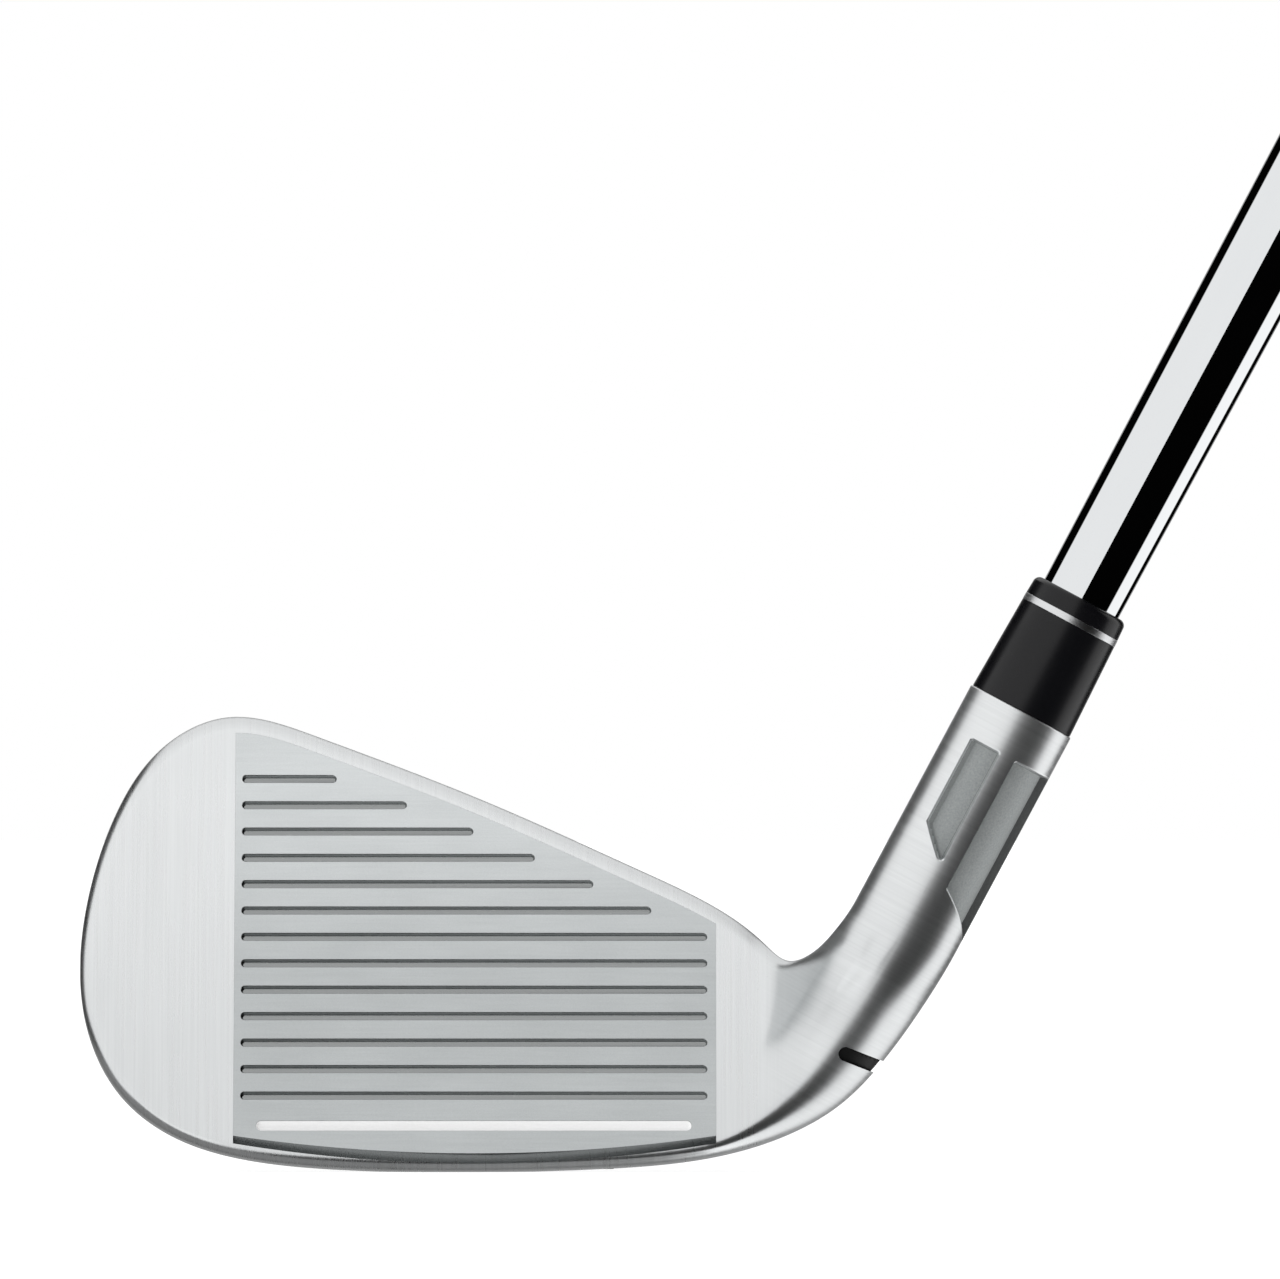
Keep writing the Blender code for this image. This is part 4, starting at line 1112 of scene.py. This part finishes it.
def make_grip():
    """The rubber grip, open at both ends round the taped shaft."""
    span = cad_profile("grip_sleeve")
    mouth = span[0][0]
    end = span[-1][0]
    top = cad_profile("grip_cap")[-1][0]
    columns = 216
    step = 0.42
    share = np.arange(columns) / columns
    out = outward(share * math.tau)
    rim = [(radius, mouth + height) for radius, height in GRIP_RIM]
    rings = [GROUND + h * AXIS3 + r * out for r, h in ((GRIP_BORE, end), (GRIP_BORE, mouth), *rim)]
    for h in np.arange(mouth + 1.5, end - 0.3, step):
        radius = grip_radius(h, mouth, top) - grip_relief(share, h, mouth, end)
        rings.append(GROUND + h * AXIS3 + radius[:, None] * out)
    rings.append(GROUND + end * AXIS3 + (grip_radius(end, mouth, top) - 0.15) * out)
    rings.append(rings[0])
    mesh = skin("grip_sleeve", rings, lids=False)
    weld(mesh)
    finished(add_object("grip_sleeve", mesh, 60.0), "grip_rubber", "rubber", "grip_sleeve")


def make_grip_cap():
    """The grip's end cap: a rounded rim, a shallow ring groove and the vent hole."""
    low, rim = cad_profile("grip_cap")[0]
    top = cad_profile("grip_cap")[-1][0]
    edge = [(GRIP_BORE, low), (rim - 0.15, low), (rim, low + 0.15), (rim + 0.3, low + 1.4),
            (rim + 0.35, low + 2.6), (rim + 0.1, low + 4.0), (rim - 0.5, top - 0.9),
            (rim - 1.5, top - 0.25), (rim - 2.6, top)]
    ring_groove = [(8.2, top), (7.9, top - 0.35), (7.4, top - 0.35), (7.1, top)]
    vent = [(2.3, top), (1.8, top - 0.2), (1.6, top - 0.7), (1.6, top - 1.2),
            (GRIP_BORE, top - 1.2)]
    cap = add_object("grip_cap", turned("grip_cap", edge + ring_groove + vent), 40.0)
    finished(cap, "grip_rubber", "rubber", "grip_cap")


def dress_hidden_pieces():
    """Materials for the pieces that keep their CAD shape."""
    for node, material in (("cap_gasket", "foam"), ("damper_bar", "polymer"),
                           ("toe_weight", "tungsten"), ("tip_weight", "tungsten"),
                           ("tip_cork", "cork"), ("grip_tape", "tape")):
        frame["nodes"][node].data.materials.clear()
        frame["nodes"][node].data.materials.append(MATERIALS[material])


# The studio

# Soft boxes as directions seen from the club: angle from the camera's side, from and to, then
# the clock angle in XZ and its half width, all in degrees, and the brightness.
SOFT_BOXES = (
    (-10.0, 82.0, 131.0, 69.0, 1.08),       # the large light at the upper left
    (82.0, 109.0, 163.0, 37.0, 1.08),       # its far part, at the left
    (82.0, 109.0, 94.0, 32.0, 1.00),        # and above, where it is weaker
    (-10.0, 78.0, 223.5, 23.5, 1.20),       # its lower corner
    (109.0, 152.0, 92.0, 36.0, 0.92),       # overhead, towards the back
    (84.5, 129.0, -24.0, 52.0, 1.25),       # a strip at the lower right
    (129.0, 143.0, -60.0, 20.0, 1.20),      # its lower end, which reaches further back
    (80.0, 150.0, -115.0, 52.0, 0.22),      # the floor's return
    (157.0, 190.0, 90.0, 190.0, 0.40),      # behind the club
)


def make_world():
    world = bpy.data.worlds.new("studio")
    world.use_nodes = True
    bpy.context.scene.world = world
    tree = world.node_tree
    x, y, z = position(tree, "Generated")
    from_camera = math_node(tree, "ARCCOSINE", math_node(tree, "MULTIPLY", y, -1.0))
    clock = math_node(tree, "ARCTAN2", z, x)
    total = 0.001
    soft = math.radians(2.0)
    for *angles, level in SOFT_BOXES:
        low, high, centre, half = map(math.radians, angles)
        opened = ramp(tree, from_camera, low - soft, low + soft)
        closed = ramp(tree, from_camera, high - soft, high + soft, 1.0, 0.0)
        apart = math_node(tree, "SUBTRACT", clock, centre)
        apart = math_node(tree, "ABSOLUTE", math_node(tree, "WRAP", apart, math.pi, -math.pi))
        aside = ramp(tree, apart, half - soft, half + soft, level, 0.0)
        box = math_node(tree, "MULTIPLY", math_node(tree, "MULTIPLY", opened, closed), aside)
        total = math_node(tree, "ADD", total, box)
    seen = add_node(tree, "ShaderNodeLightPath").outputs["Is Camera Ray"]
    strength = ramp(tree, seen, 0.0, 1.0, total, 1.0, smooth=False)
    background = tree.nodes["Background"]
    background.inputs["Color"].default_value = (1.0, 1.0, 1.0, 1.0)
    tree.links.new(strength, background.inputs["Strength"])


def make_floor():
    """A pale floor that takes only a faint shadow."""
    size = 6.0
    mesh = bpy.data.meshes.new("floor")
    mesh.from_pydata([(-size, -size, 0), (size, -size, 0), (size, size, 0), (-size, size, 0)], [],
                     [(0, 1, 2, 3)])
    floor = bpy.data.objects.new("floor", mesh)
    floor.location = (0.0, 0.0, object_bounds()[0][2] - 2e-5)
    bpy.context.scene.collection.objects.link(floor)
    pale = new_material("floor", Roughness=0.9, Base_Color=(0.5, 0.5, 0.5, 1.0), Specular_IOR_Level=0.0,
                        Emission_Color=(1.0, 1.0, 1.0, 1.0), Emission_Strength=0.85)
    mesh.materials.append(pale[0])
    floor.visible_glossy = False


def make_camera():
    """Level with the middle of the view and square to the club's plane, far back on a long lens."""
    view_width = 0.1463
    lens = 0.9
    sensor = 0.036
    data = bpy.data.cameras.new("camera")
    data.lens = lens * 1000.0
    data.sensor_width = sensor * 1000.0
    data.clip_end = 50.0
    camera = bpy.data.objects.new("camera", data)
    camera.location = (0.0189, AXIS_Y * MM - view_width * lens / sensor, 0.0609)
    camera.rotation_euler = (math.pi / 2, 0.0, 0.0)
    bpy.context.scene.collection.objects.link(camera)
    bpy.context.scene.camera = camera
    bpy.context.scene.view_settings.view_transform = "Standard"


make_head()
make_notch_insert()
make_face_plate()
make_cap()
make_slot_insert()
make_shaft()
make_ferrule()
make_band()
make_grip()
make_grip_cap()
dress_hidden_pieces()
make_world()
make_camera()
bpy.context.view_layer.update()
make_floor()
